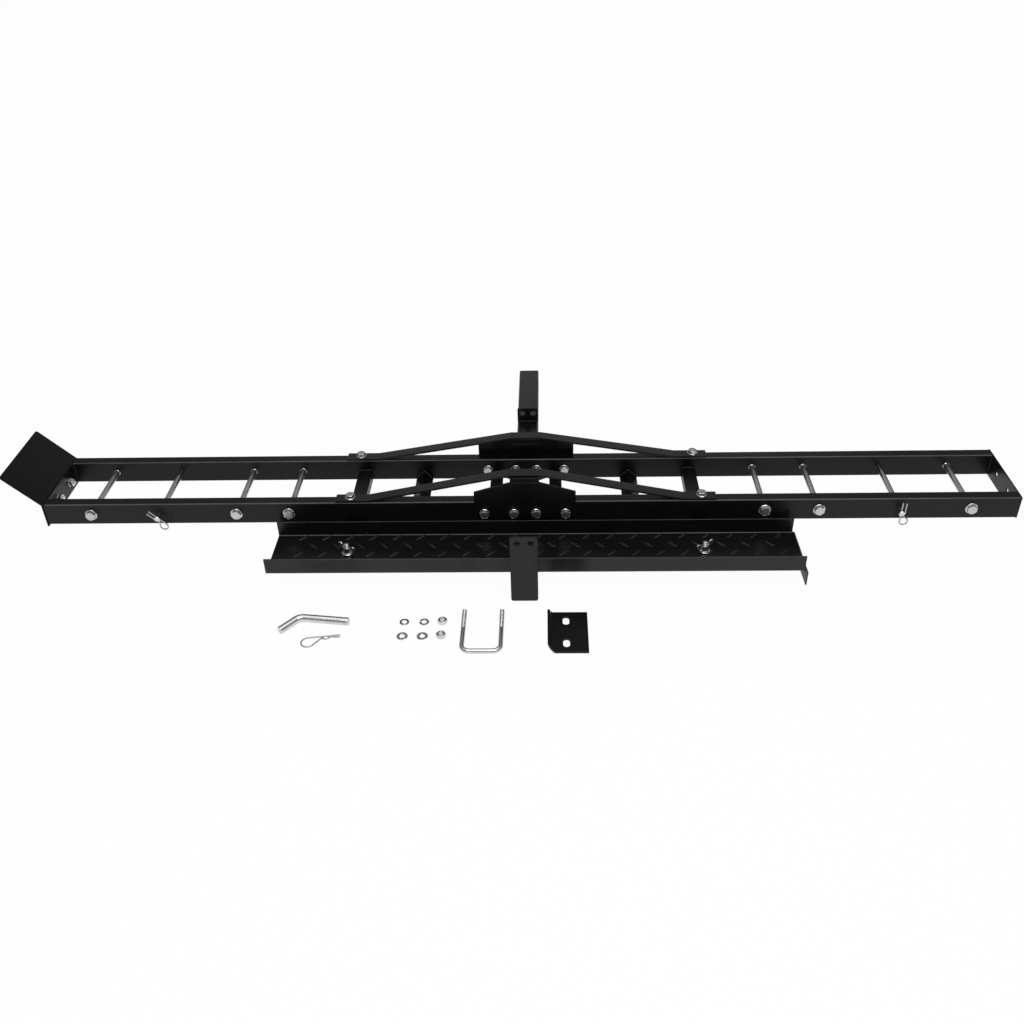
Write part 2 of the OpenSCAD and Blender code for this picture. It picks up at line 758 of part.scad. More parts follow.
// A wing nut on the stud of an arm
module wing_nut(s) {
    z0 = deck_top + tread_h + washer_t;
    wing_w = 13;
    wing_lift = 14;
    wing_t = 3.5;
    color(zinc) translate([s * stud_x, ramp_mid_y, z0]) rotate([0, 0, s * 35]) difference() {
        union() {
            cylinder(d = wing_hub_d, h = wing_hub_h);
            for (t = [0, 180]) rotate([0, 0, t]) translate([0, wing_t / 2, 0]) rotate([90, 0, 0])
                linear_extrude(wing_t) union() {
                    translate([wing_span / 2 - wing_w / 2, wing_lift]) circle(d = wing_w);
                    polygon([[wing_hub_d / 2 - 2, 1], [wing_span / 2 - 1, wing_lift - 4],
                             [wing_span / 2 - wing_w + 1, wing_lift + 3], [wing_hub_d / 2 - 2, wing_hub_h]]);
                }
        }
        translate([0, 0, -1]) cylinder(d = bolt_d + 0.2, h = wing_hub_h + 2);
    }
}

module wing_nut_left() { wing_nut(-1); }
module wing_nut_right() { wing_nut(1); }

module wing_washers() {
    color(zinc) for (s = [-1, 1])
        translate([s * stud_x, ramp_mid_y, deck_top + tread_h]) ring(washer_d + 1, bolt_d + 1, washer_t);
}

// The bent hitch pin, lying on the floor with a cross hole near its tip
module hitch_pin() {
    r = hitch_pin_d / 2;
    lead = pin_bend_r * tan(pin_turn / 2);
    end_angle = 90 + pin_turn;
    color(zinc) translate([pin_x, kit_y + pin_y, floor_z + r]) rotate([0, 0, -pin_lean]) difference() {
        union() {
            translate([lead, 0, 0]) rotate([0, 90, 0]) cylinder(r = r, h = hitch_pin_leg - lead);
            translate([lead, -pin_bend_r, 0]) rotate([0, 0, 90])
                rotate_extrude(angle = pin_turn) translate([pin_bend_r, 0]) circle(r = r);
            translate([lead + pin_bend_r * cos(end_angle), -pin_bend_r + pin_bend_r * sin(end_angle), 0])
                rotate([0, 0, pin_turn + 180]) rotate([0, 90, 0])
                    cylinder(r = r, h = hitch_pin_handle - lead);
        }
        translate([hitch_pin_leg - pin_tip_back, 0, 0])
            cylinder(d = hitch_clip_wire + 1, h = 2 * hitch_pin_d, center = true);
    }
}

// The loose spring clip of the hitch pin
module hitch_clip() {
    color(zinc) translate([hitch_clip_x, kit_y + near_row, floor_z + hitch_clip_wire / 2])
        rotate([0, 0, -hitch_clip_lean])
        wire(clip_path(hitch_pin_d * 0.75, hitch_clip_wire, hitch_clip_leg, hitch_clip_reach,
                       hitch_clip_loop_r, true), hitch_clip_wire);
}

// The U bolt, lying on the floor with its legs towards the carrier
module u_bolt() {
    r = u_rod_d / 2;
    half = u_spacing / 2;
    color(zinc) translate([u_bolt_x, kit_y + u_bolt_y, floor_z + r]) union() {
        for (s = [-1, 1]) {
            translate([s * half, u_bend_r, 0]) rotate([-90, 0, 0])
                cylinder(r = r, h = u_len - u_bend_r - u_thread);
            translate([s * half, u_len - u_thread, 0]) rotate([-90, 0, 0])
                cylinder(r = r - 0.4, h = u_thread);
        }
        translate([-half + u_bend_r, 0, 0]) rotate([0, 90, 0])
            cylinder(r = r, h = u_spacing - 2 * u_bend_r);
        translate([half - u_bend_r, u_bend_r, 0]) rotate([0, 0, -90])
            rotate_extrude(angle = 90) translate([u_bend_r, 0]) circle(r = r);
        translate([-half + u_bend_r, u_bend_r, 0]) rotate([0, 0, 180])
            rotate_extrude(angle = 90) translate([u_bend_r, 0]) circle(r = r);
    }
}

// A slot along Y in the clamp plate
module clamp_slot() {
    run = slot_len - slot_w;
    union() {
        for (s = [-1, 1]) translate([0, s * run / 2, -1]) cylinder(d = slot_w, h = clamp_t + 2);
        translate([-slot_w / 2, -run / 2, -1]) cube([slot_w, run, clamp_t + 2]);
    }
}

// The clamp plate of the U bolt, with its lip up and two slots
module clamp_plate() {
    cut = 14;
    color(black) translate([clamp_x, kit_y + clamp_y, floor_z]) difference() {
        union() {
            linear_extrude(clamp_t) polygon([[cut, 0], [clamp_w, 0], [clamp_w, clamp_len],
                                             [0, clamp_len], [0, cut]]);
            translate([0, cut, 0]) cube([clamp_t, clamp_len - cut, clamp_t + clamp_lip]);
        }
        for (s = [-1, 1]) translate([slot_edge, clamp_len / 2 + s * slot_gap / 2, 0]) clamp_slot();
    }
}

module flat_washers() {
    color(zinc) for (x = [washer_x1, washer_x2]) translate([x, kit_y + near_row, floor_z])
        ring(arch_washer_d, u_rod_d + 2 * fit_gap, washer_t);
}

// Spring washers, each with a split through its ring
module spring_washers() {
    spring_t = 2.5;
    split = 1.6;
    places = [[washer_x1, split_turn_1], [washer_x2, split_turn_2]];
    color(zinc) for (p = places) translate([p[0], kit_y + far_row, floor_z]) difference() {
        ring(spring_washer_d, u_rod_d + 2 * fit_gap, spring_t);
        rotate([0, 0, p[1]]) translate([0, -split / 2, -1]) cube([spring_washer_d, split, spring_t + 2]);
    }
}

module loose_nuts() {
    color(zinc) {
        translate([nut_x, kit_y + far_row, floor_z]) rotate([0, 0, 15]) nut(u_rod_d);
        translate([nut_x, kit_y + near_row, floor_z]) nut(u_rod_d);
    }
}

hitch_bar();
bar_upright();
bar_tab();
gusset_front();
gusset_rear();
rail_front_left();
rail_front_right();
rail_rear_left();
rail_rear_right();
end_plate_left();
end_plate_right();
stop_plate();
stop_bolts();
arch_front();
arch_rear();
arch_pads();
arch_bolts();
arch_nuts();
cross_tube_left();
cross_tube_right();
centre_tube_left();
centre_tube_right();
cross_angle_left();
cross_angle_right();
gusset_bolts();
gusset_nuts();
rod(0);  // rod_1
rod(1);  // rod_2
rod(2);  // rod_3
rod(3);  // rod_4
rod(4);  // rod_5
rod(5);  // rod_6
rod_washers();
rod_nuts();
strap_pin_left();
strap_pin_right();
strap_clip_left();
strap_clip_right();
ramp();
ramp_arm_left();
ramp_arm_right();
wing_nut_left();
wing_nut_right();
wing_washers();
hitch_pin();
hitch_clip();
u_bolt();
clamp_plate();
flat_washers();
spring_washers();
loose_nuts();
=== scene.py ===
"""The looks of the hitch carrier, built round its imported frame. Everything is in metres."""
import math
import random

import bmesh
import bpy
from mathutils import Matrix, Vector


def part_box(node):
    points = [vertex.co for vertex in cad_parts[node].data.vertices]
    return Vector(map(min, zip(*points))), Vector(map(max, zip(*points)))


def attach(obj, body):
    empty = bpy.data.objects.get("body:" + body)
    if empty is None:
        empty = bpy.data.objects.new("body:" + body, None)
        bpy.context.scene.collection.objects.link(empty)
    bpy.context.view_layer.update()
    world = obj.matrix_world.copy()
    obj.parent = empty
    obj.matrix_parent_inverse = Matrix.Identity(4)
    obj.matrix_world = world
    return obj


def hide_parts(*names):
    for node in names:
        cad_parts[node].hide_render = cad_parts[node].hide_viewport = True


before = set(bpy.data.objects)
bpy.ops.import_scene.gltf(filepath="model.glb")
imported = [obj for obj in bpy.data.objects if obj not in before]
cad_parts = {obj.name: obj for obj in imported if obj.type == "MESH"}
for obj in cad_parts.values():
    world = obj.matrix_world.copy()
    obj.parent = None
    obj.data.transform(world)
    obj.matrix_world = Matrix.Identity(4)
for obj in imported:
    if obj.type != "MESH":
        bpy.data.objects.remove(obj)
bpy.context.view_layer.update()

MM = 0.001
FLOOR_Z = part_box("hitch_bar")[0].z

# Camera, as fitted to the photograph
PHOTO_PX = 1024
FOCAL_PX = 1041.6
CAMERA_PLACE = Vector((0.04636, -2.45558, 1.30925))
CAMERA_PITCH = 0.60578
CAMERA_YAW = 0.04126
CAMERA_ROLL = 0.03084
SENSOR_MM = 36
CLIP_NEAR = 0.05
CLIP_FAR = 60

# Fasteners
BOLT_R = 5 * MM
ROD_R = 6 * MM
HEX_FLATS = 17 * MM
ROD_FLATS = 19 * MM
HEAD_H = 6.5 * MM
NUT_H = 8 * MM
NUT_BITE = 0.4 * MM
HEX_STEPS = 72
HEX_CROWN = 0.94
HEX_SLOPE = math.radians(30)
HEX_BEVEL = 0.25 * MM
BORE_CHAMFER = 0.7 * MM
HEAD_DISH = 0.35 * MM
HEAD_DISH_SHARE = 0.62
WASHER_R = 10 * MM
ARCH_WASHER_R = 11 * MM
ROD_WASHER_R = 12.5 * MM
COLLAR_R = 7.2 * MM
WASHER_T = 2 * MM
THREAD_PITCH = 1.5 * MM
THREAD_DEPTH = 0.75 * MM
THREAD_FLANK = 1.3
THREAD_LAND = 0.15
BOLT_PROUD = 3 * MM
GUSSET_BOLT_IN = 23 * MM

# Edges: bevel widths, and the angles in degrees from which an edge is rounded
PLATE_BEVEL = 0.6 * MM
TUBE_BEVEL = 0.35 * MM
ARCH_BEVEL = 0.8 * MM
ANGLE_BEVEL = 0.9 * MM
RAMP_BEVEL = 0.5 * MM
FLAT_EDGES = 35
BENT_EDGES = 50
HEX_EDGES = 28
# An edge over CREASE stays sharp; SLANT is how far the normal of a rounded corner's face leans for the face
# to take the painted highlight
CREASE = math.radians(40)
SLANT = 0.25

# Sheet metal
RAIL_CORNER = 3 * MM
RAIL_WALL = 2.5 * MM
TUBE_WALL = 2 * MM
BAR_CORNER = 5 * MM
BAR_WALL = 6.4 * MM
PIN_HOLE_R = 8.25 * MM
STOP_T = 3 * MM
STOP_ANGLE = math.radians(45)
STOP_LEN = 100 * MM
STOP_CORNER = 6 * MM
STOP_BEND = 3 * MM
ARCH_T = 5 * MM
ARCH_BEND = 326 * MM
ARCH_ROUND = 14 * MM
CROWN_HALF = 31 * MM
ARM_T = 5 * MM
ARM_BEND = 1.5 * MM

# Welds: the beads' radii and ripple, and how they taper at their ends
WELD_IN = 4 * MM
WELD_CORNER = 2 * MM
WELD_STEP = 2.2 * MM
UPRIGHT_BEAD = 2.6 * MM
GUSSET_BEAD = 3 * MM
TAB_BEAD = 3.2 * MM
PLATE_BEAD = 2 * MM
TUBE_BEAD = 2.2 * MM
PAD_BEAD = 0.9 * MM
WELD_RIPPLE = 0.16
WELD_UNEVEN = 0.08
WELD_END = 0.55
WELD_TAPER = 0.15

# Ramp
RAMP_T = 3 * MM
RAMP_BEND = 2 * MM
LIP_BEND = 4 * MM
LIP_LAP = 2 * MM
LIP_OUT = 7.5 * MM
TREAD_LEN = 26 * MM
TREAD_W = 6.5 * MM
TREAD_H = 1.4 * MM
TREAD_PITCH = 49.5 * MM
TREAD_ROWS = 4
TREAD_ROW_GAP = 29 * MM
TREAD_EDGE = 9 * MM
TREAD_SHIFT = 0.25
TREAD_LEAN = math.radians(45)
TREAD_BLUNT = 0.35
TREAD_POINT = 1.25
# A tread's rings from its foot to its top: share of its width, share of its height
TREAD_RINGS = ((1.0, -0.2), (0.92, 0.35), (0.7, 0.82), (0.35, 1.0))

# Wing nuts, in millimetres: (radius, height) of the hub and (out, up) of a wing's outline
HUB_PROFILE = ((5.1, 0), (8.2, 0), (8.5, 0.5), (8.4, 4), (7.2, 9.5), (6.6, 11), (5.8, 11), (5.1, 10.2))
WING_OUTLINE = ((5, 1), (12, 3), (19, 8), (22, 15), (18, 19.5), (12, 17), (9, 11), (5, 11))
WING_T = 3.6 * MM
WING_BEVEL = 0.9 * MM
WING_TURN = math.radians(35)
WING_WASHER_R = 12 * MM
WING_WASHER_HOLE_R = 5.5 * MM
SEAT = 0.1 * MM

# Spring clips: wire radius, straight leg above the bow, reach to the loop, loop radius
STRAP_CLIP = {"wire_r": 1.5 * MM, "up": 23 * MM, "reach": 22 * MM, "loop_r": 8 * MM}
HITCH_CLIP = {"wire_r": 1.5 * MM, "up": 28 * MM, "reach": 34 * MM, "loop_r": 13 * MM}
CLIP_PLAY = 0.5 * MM
LOOP_END = 410
BOW_END = 62
STRAP_PIN_R = 6 * MM
STRAP_HEAD_H = 5 * MM
STRAP_PIN_EDGE = 1.2 * MM
CLIP_HOLE_R = 1.75 * MM
HOLE_BAND = 3 * MM
HITCH_CLIP_BOW_R = 6 * MM
CLIP_LEAN = {"left": math.radians(45), "right": 0.0}
HITCH_CLIP_LEAN = math.radians(82)

# Loose hardware; an ease is a path's extra point that keeps the rod straight beyond its bend
PIN_LEG = 100 * MM
PIN_HANDLE = 50 * MM
PIN_BEND = 18 * MM
PIN_TURN = math.radians(57)
PIN_LEAN = math.radians(7)
PIN_TIP_BACK = 10 * MM
PIN_CROSS_R = 2 * MM
PIN_EASE = 5 * MM
CLAMP_T = 5 * MM
CLAMP_BEND = 7 * MM
CLAMP_CUT = 14 * MM
SLOT_LEN = 24 * MM
SLOT_W = 13 * MM
SLOT_GAP = 64 * MM
SLOT_EDGE = 36 * MM
SLOT_ROUND = 0.49
U_THREAD = 55 * MM
U_BEND = 15 * MM
U_LEG_IN = 0.3 * MM
U_LAP = 1 * MM
U_EASE = 8 * MM
LOOSE_HOLE_R = 5.25 * MM
SPRING_T = 2.5 * MM
SPRING_WIRE = 0.75
SPRING_GAP = 14
SPRING_BEVEL = 0.3 * MM
SPRING_TURNS = (280, 170)

# Light; each lamp is a name, a place, a size and a power in watts
FLOOR_HALF = 14
FLOOR_GREY = 0.86
FLOOR_GLOW = 0.97
FLOOR_GLOSS = 0.45
WORLD_SEEN = 1.0
WORLD_LIGHT = 0.45
WORLD_GLOSS = 0.22
LAMP_AIM = Vector((0, -0.6, 0))
LAMPS = (("overhead", (0, -0.6, 3.2), (4.0, 2.4), 34),
         ("front", (0.3, -2.35, 2.5), (3.4, 0.5), 30),
         ("behind", (0, 3.4, 1.5), (3.6, 0.8), 7))

# Nodes that are made alike
RAILS = ("rail_front_left", "rail_front_right", "rail_rear_left", "rail_rear_right")
CROSS_TUBES = ("cross_tube_left", "cross_tube_right", "centre_tube_left", "centre_tube_right")
CROSS_ANGLES = ("cross_angle_left", "cross_angle_right")
PLATES = ("bar_tab", "gusset_front", "gusset_rear", "end_plate_left", "end_plate_right", "arch_pads")

# How a length t and a section's (a, b) stand along each axis
ALONG = {"X": lambda t, a, b: (t, a, b), "Y": lambda t, a, b: (a, t, b), "Z": lambda t, a, b: (a, b, t)}

random.seed(7)


# Small mesh tools

def new_object(name, data):
    item = bpy.data.objects.new(name, data)
    bpy.context.scene.collection.objects.link(item)
    return item


def to_object(name, bm, smooth=True):
    """An object from a bmesh, which is freed."""
    mesh = bpy.data.meshes.new(name)
    bm.to_mesh(mesh)
    bm.free()
    for face in mesh.polygons:
        face.use_smooth = smooth
    return new_object(name, mesh)


def from_bmesh(name, bm, smooth=True):
    """An object from a bmesh, with its faces turned outwards."""
    bmesh.ops.recalc_face_normals(bm, faces=bm.faces)
    return to_object(name, bm, smooth)


def middle(node):
    """The middle of a CAD node's box."""
    lo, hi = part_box(node)
    return (lo + hi) / 2


def apply_modifiers(piece):
    """Replaces a piece's mesh by what its modifiers make of it."""
    bpy.context.view_layer.update()
    graph = bpy.context.evaluated_depsgraph_get()
    mesh = bpy.data.meshes.new_from_object(piece.evaluated_get(graph))
    piece.modifiers.clear()
    piece.data = mesh
    return piece


def even_shading(piece):
    """Shades the flat faces of a smooth piece as flat, and applies its modifiers."""
    normals = piece.modifiers.new("normals", "WEIGHTED_NORMAL")
    normals.keep_sharp = True
    return apply_modifiers(piece)


def soften_edges(piece, width, segments=2, angle=BENT_EDGES):
    """Rounds the sharp edges of a piece and evens out its shading."""
    bevel = piece.modifiers.new("edge", "BEVEL")
    bevel.width = width
    bevel.segments = segments
    bevel.limit_method = "ANGLE"
    bevel.angle_limit = math.radians(angle)
    bevel.use_clamp_overlap = True
    return even_shading(piece)


def finish_piece(piece, material, body, *replaced):
    """Gives a piece its material, its body and the CAD nodes that it stands for."""
    piece.data.materials.clear()
    piece.data.materials.append(material)
    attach(piece, body)
    if replaced:
        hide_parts(*replaced)
    return piece


def join(name, pieces):
    """One object from several, which all stand at the origin."""
    bm = bmesh.new()
    for piece in pieces:
        bm.from_mesh(piece.data)
        bpy.data.objects.remove(piece)
    return even_shading(to_object(name, bm))


def dressed(node, width=PLATE_BEVEL, segments=2):
    """A copy of a CAD node with its flat faces joined and its sharp edges rounded."""
    bm = bmesh.new()
    bm.from_mesh(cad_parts[node].data)
    bmesh.ops.remove_doubles(bm, verts=bm.verts, dist=1e-6)
    bmesh.ops.dissolve_limit(bm, angle_limit=math.radians(0.6), verts=bm.verts, edges=bm.edges)
    return soften_edges(from_bmesh(node + "_metal", bm), width, segments, FLAT_EDGES)


def bridge(bm, one, two):
    """Faces between two rings, either of which may be a single point."""
    count = max(len(one), len(two))
    for i in range(count):
        j = (i + 1) % count
        if len(one) == 1 and len(two) == 1:
            return
        if len(one) == 1:
            bm.faces.new((one[0], two[j], two[i]))
        elif len(two) == 1:
            bm.faces.new((one[i], one[j], two[0]))
        else:
            bm.faces.new((one[i], one[j], two[j], two[i]))


def skin(bm, rings):
    """Faces along a row of rings, with both ends closed."""
    for one, two in zip(rings, rings[1:]):
        bridge(bm, one, two)
    bm.faces.new(rings[0])
    bm.faces.new(rings[-1])


def level_ring(bm, z, radii):
    """A ring of corners at one height, with a radius for each of its even angles."""
    angles = [2 * math.pi * k / len(radii) for k in range(len(radii))]
    return [bm.verts.new((r * math.cos(t), r * math.sin(t), z)) for r, t in zip(radii, angles)]


def ring_across(bm, centre, one, other, radius, count):
    """A ring of corners round a centre, in the plane of two directions."""
    angles = [2 * math.pi * k / count for k in range(count)]
    return [bm.verts.new(centre + (one * math.cos(t) + other * math.sin(t)) * radius) for t in angles]


def extrude_section(name, section, axis, start, stop):
    """A closed section of (a, b) points along X, Y or Z."""
    bm = bmesh.new()
    skin(bm, [[bm.verts.new(ALONG[axis](t, a, b)) for a, b in section] for t in (start, stop)])
    return from_bmesh(name, bm)


def bent_strip(path, thickness, radius, steps=6):
    """The section of a strip that follows a path, on its left side, with round bends."""
    centre = [Vector(p) for p in path]
    left, right = [], []
    for i, point in enumerate(centre):
        if i in (0, len(centre) - 1):
            other = centre[1] if i == 0 else centre[i - 1]
            along = (other - point).normalized() * (1 if i == 0 else -1)
            normal = Vector((-along.y, along.x))
            right.append(point)
            left.append(point + normal * thickness)
            continue
        before = (point - centre[i - 1]).normalized()
        after = (centre[i + 1] - point).normalized()
        turn = math.atan2(before.cross(after), before.dot(after))
        inner = radius if turn > 0 else radius + thickness
        base = inner if turn < 0 else inner + thickness
        lead = base * math.tan(abs(turn) / 2)
        start = point - before * lead
        side = 1 if turn > 0 else -1
        pivot = start + Vector((-before.y, before.x)) * base * side
        for k in range(steps + 1):
            spin = Matrix.Rotation(turn * k / steps, 2)
            arm = spin @ (start - pivot)
            right.append(pivot + arm)
            left.append(pivot + arm * ((base - thickness * side) / base))
    return [tuple(p) for p in right] + [tuple(p) for p in reversed(left)]


def round_rect(a0, b0, a1, b1, radius, steps=5):
    """The outline of a rectangle with round corners."""
    points = []
    corners = ((a1 - radius, b0 + radius, -90), (a1 - radius, b1 - radius, 0),
               (a0 + radius, b1 - radius, 90), (a0 + radius, b0 + radius, 180))
    for a, b, angle in corners:
        for k in range(steps + 1):
            t = math.radians(angle + 90 * k / steps)
            points.append((a + radius * math.cos(t), b + radius * math.sin(t)))
    return points


def square_tube(name, axis, start, stop, lo, hi, wall, corner):
    """A rolled tube with round corners, open at both ends."""
    outer = round_rect(lo[0], lo[1], hi[0], hi[1], corner)
    inner = round_rect(lo[0] + wall, lo[1] + wall, hi[0] - wall, hi[1] - wall, max(corner - wall, MM))
    bm = bmesh.new()
    rings = [[bm.verts.new(ALONG[axis](t, a, b)) for a, b in outline]
             for outline, t in ((outer, start), (outer, stop), (inner, stop), (inner, start))]
    for one, two in zip(rings, rings[1:] + rings[:1]):
        bridge(bm, one, two)
    return soften_edges(from_bmesh(name, bm), TUBE_BEVEL)


def lathe(name, profile, count=40, close=True):
    """A profile of (radius, z) points turned about Z."""
    bm = bmesh.new()
    rings = []
    for radius, z in profile:
        rings.append(level_ring(bm, z, [radius] * count) if radius else [bm.verts.new((0, 0, z))])
    last = len(rings) if close else len(rings) - 1
    for r in range(last):
        bridge(bm, rings[r], rings[(r + 1) % len(rings)])
    bmesh.ops.recalc_face_normals(bm, faces=bm.faces)
    for edge in bm.edges:
        if len(edge.link_faces) == 2 and edge.calc_face_angle() > CREASE:
            edge.smooth = False
    return from_bmesh(name, bm)


def tube(name, path, radius, sides=14):
    """A round rod along a path of 3-D points, with closed ends."""
    points = [Vector(p) for p in path]
    bm = bmesh.new()
    rings = []
    normal = None
    for i, point in enumerate(points):
        along = (points[min(i + 1, len(points) - 1)] - points[max(i - 1, 0)]).normalized()
        if normal is None:
            normal = along.orthogonal().normalized()
        normal = (normal - along * normal.dot(along)).normalized()
        rings.append(ring_across(bm, point, normal, along.cross(normal), radius, sides))
    skin(bm, rings)
    return soften_edges(from_bmesh(name, bm), radius / 5)


def arc(cx, cy, radius, start, stop, steps):
    """Points along an arc round (cx, cy), between two angles in degrees."""
    return [(cx + radius * math.cos(math.radians(start + (stop - start) * k / steps)),
             cy + radius * math.sin(math.radians(start + (stop - start) * k / steps)))
            for k in range(steps + 1)]


def smooth_path(points, steps=5):
    """Points along a Catmull-Rom curve through the given ones."""
    knots = [Vector(p) for p in points]
    knots = [2 * knots[0] - knots[1]] + knots + [2 * knots[-1] - knots[-2]]
    path = []
    for a, b, c, d in zip(knots, knots[1:], knots[2:], knots[3:]):
        for k in range(steps):
            t = k / steps
            path.append(0.5 * ((2 * b) + (c - a) * t + (2 * a - 5 * b + 4 * c - d) * t * t
                               + (3 * b - a - 3 * c + d) * t ** 3))
    path.append(knots[-2])
    return path


def drill(piece, radius, where, along):
    """Cuts a round hole right through a piece."""
    reach = 60 * MM
    cutter = lathe("cutter", [(0, -reach), (radius, -reach), (radius, reach), (0, reach)], 48, False)
    return cut_out(piece, place(cutter, where, along))


def cut_out(piece, cutter):
    """Takes one piece away from another."""
    cut = piece.modifiers.new("hole", "BOOLEAN")
    cut.operation = "DIFFERENCE"
    cut.solver = "EXACT"
    cut.object = cutter
    apply_modifiers(piece)
    bpy.data.objects.remove(cutter)
    return piece


# Fasteners, each standing on the XY plane along +Z

def hex_radius(angle, flats):
    """The distance from a hexagon's middle to its edge."""
    sector = math.radians(60)
    return flats / 2 / math.cos((angle % sector) - sector / 2)


def hex_block(name, flats, height, bore=0.0):
    """A bolt head, or a nut where it has a bore, with its corners chamfered as a real one's are."""
    crown = flats / 2 * HEX_CROWN
    slope = math.tan(HEX_SLOPE)
    angles = [2 * math.pi * k / HEX_STEPS for k in range(HEX_STEPS)]
    radii = [hex_radius(a, flats) for a in angles]
    bm = bmesh.new()

    def ring(radius_at, z_at):
        return [bm.verts.new((radius_at(k) * math.cos(a), radius_at(k) * math.sin(a), z_at(k)))
                for k, a in enumerate(angles)]

    rings = []
    if bore:
        rings.append(ring(lambda k: crown, lambda k: 0))
        rings.append(ring(lambda k: radii[k], lambda k: (radii[k] - crown) * slope))
    else:
        rings.append(ring(lambda k: radii[k], lambda k: 0))
    rings.append(ring(lambda k: radii[k], lambda k: height - (radii[k] - crown) * slope))
    rings.append(ring(lambda k: crown, lambda k: height))
    if bore:
        rings.append(ring(lambda k: bore + BORE_CHAMFER, lambda k: height))
        rings.append(ring(lambda k: bore, lambda k: height - BORE_CHAMFER))
        rings.append(ring(lambda k: bore, lambda k: BORE_CHAMFER))
        rings.append(ring(lambda k: bore + BORE_CHAMFER, lambda k: 0))
        for one, two in zip(rings, rings[1:] + rings[:1]):
            bridge(bm, one, two)
    else:
        top = bm.verts.new((0, 0, height - HEAD_DISH))
        dish = ring(lambda k: crown * HEAD_DISH_SHARE, lambda k: height)
        rings.append(dish)
        for one, two in zip(rings, rings[1:]):
            bridge(bm, one, two)
        bridge(bm, dish, [top])
        bm.faces.new(rings[0])
    return soften_edges(from_bmesh(name, bm), HEX_BEVEL, 2, HEX_EDGES)


def nut(name, flats, rod_r):
    """A nut whose bore bites a little into its bolt's thread."""
    return hex_block(name, flats, NUT_H, rod_r - NUT_BITE)


def washer(name, outer, inner, thickness):
    edge = thickness / 4
    return lathe(name, [(inner, 0), (outer - edge, 0), (outer, edge), (outer, thickness - edge),
                        (outer - edge, thickness), (inner + edge, thickness), (inner, thickness - edge)])


def thread(name, radius, length, count=24, steps=6):
    """A threaded rod from z = 0 to length, with a chamfered tip; steps are the rings of one turn."""
    bm = bmesh.new()
    n = max(2, int(length / THREAD_PITCH * steps))
    rings = []
    for i in range(n + 1):
        z = length * i / n
        radii = []
        for k in range(count):
            phase = (z / THREAD_PITCH - k / count) % 1.0
            cut = min(1.0, max(0.0, abs(phase - 0.5) * 2 * THREAD_FLANK - THREAD_LAND))
            radii.append(min(radius - THREAD_DEPTH * cut, radius - THREAD_DEPTH + (length - z)))
        rings.append(level_ring(bm, z, radii))
    skin(bm, rings)
    return from_bmesh(name, bm)


def place(piece, where, along="+Z", turn=0.0):
    """Stands a piece that was made along +Z at a place, along another way."""
    aims = {"+Z": Matrix.Identity(4), "-Z": Matrix.Rotation(math.pi, 4, "X"),
            "-Y": Matrix.Rotation(math.pi / 2, 4, "X"), "+Y": Matrix.Rotation(-math.pi / 2, 4, "X"),
            "+X": Matrix.Rotation(math.pi / 2, 4, "Y"), "-X": Matrix.Rotation(-math.pi / 2, 4, "Y")}
    matrix = Matrix.Translation(where) @ aims[along] @ Matrix.Rotation(turn, 4, "Z")
    piece.data.transform(matrix)
    return piece


def head_and_washer(name, where, along, washer_r=WASHER_R, bare_nut=False):
    """A washer with a bolt head on it, or a nut with the bolt's threaded tip through it."""
    turn = random.uniform(0, math.pi / 3)
    parts = [washer(name + "_w", washer_r, BOLT_R, WASHER_T)]
    if bare_nut:
        top = nut(name + "_n", HEX_FLATS, BOLT_R)
        parts.append(thread(name + "_t", BOLT_R, NUT_H + WASHER_T + BOLT_PROUD))
    else:
        top = hex_block(name + "_h", HEX_FLATS, HEAD_H)
    parts.append(place(top, (0, 0, WASHER_T), "+Z", turn))
    return place(join(name, parts), where, along)


# Materials


def tree_of(name):
    """A new material with its node tree and its shader."""
    material = bpy.data.materials.new(name)
    material.use_nodes = True
    tree = material.node_tree
    return material, tree, tree.nodes["Principled BSDF"]


def link(tree, out_node, out_name, in_node, in_name):
    tree.links.new(out_node.outputs[out_name], in_node.inputs[in_name])


def noise(tree, scale, detail, rough=0.55):
    """Noise over the object's own coordinates."""
    coord = tree.nodes.new("ShaderNodeTexCoord")
    texture = tree.nodes.new("ShaderNodeTexNoise")
    texture.inputs["Scale"].default_value = scale
    texture.inputs["Detail"].default_value = detail
    texture.inputs["Roughness"].default_value = rough
    link(tree, coord, "Object", texture, "Vector")
    return texture


def ramp_node(tree, source, output, stops):
    """A colour ramp of (position, colour) stops over another node's value."""
    ramp = tree.nodes.new("ShaderNodeValToRGB")
    elements = ramp.color_ramp.elements
    while len(elements) < len(stops):
        elements.new(0.5)
    for element, (position, value) in zip(elements, stops):
        element.position = position
        element.color = (*value, 1)
    link(tree, source, output, ramp, "Fac")
    return ramp


def bump(tree, shader, source, output, strength, distance):
    """Gives a shader a relief from another node's value."""
    node = tree.nodes.new("ShaderNodeBump")
    node.inputs["Strength"].default_value = strength
    node.inputs["Distance"].default_value = distance
    link(tree, source, output, node, "Height")
    link(tree, node, "Normal", shader, "Normal")


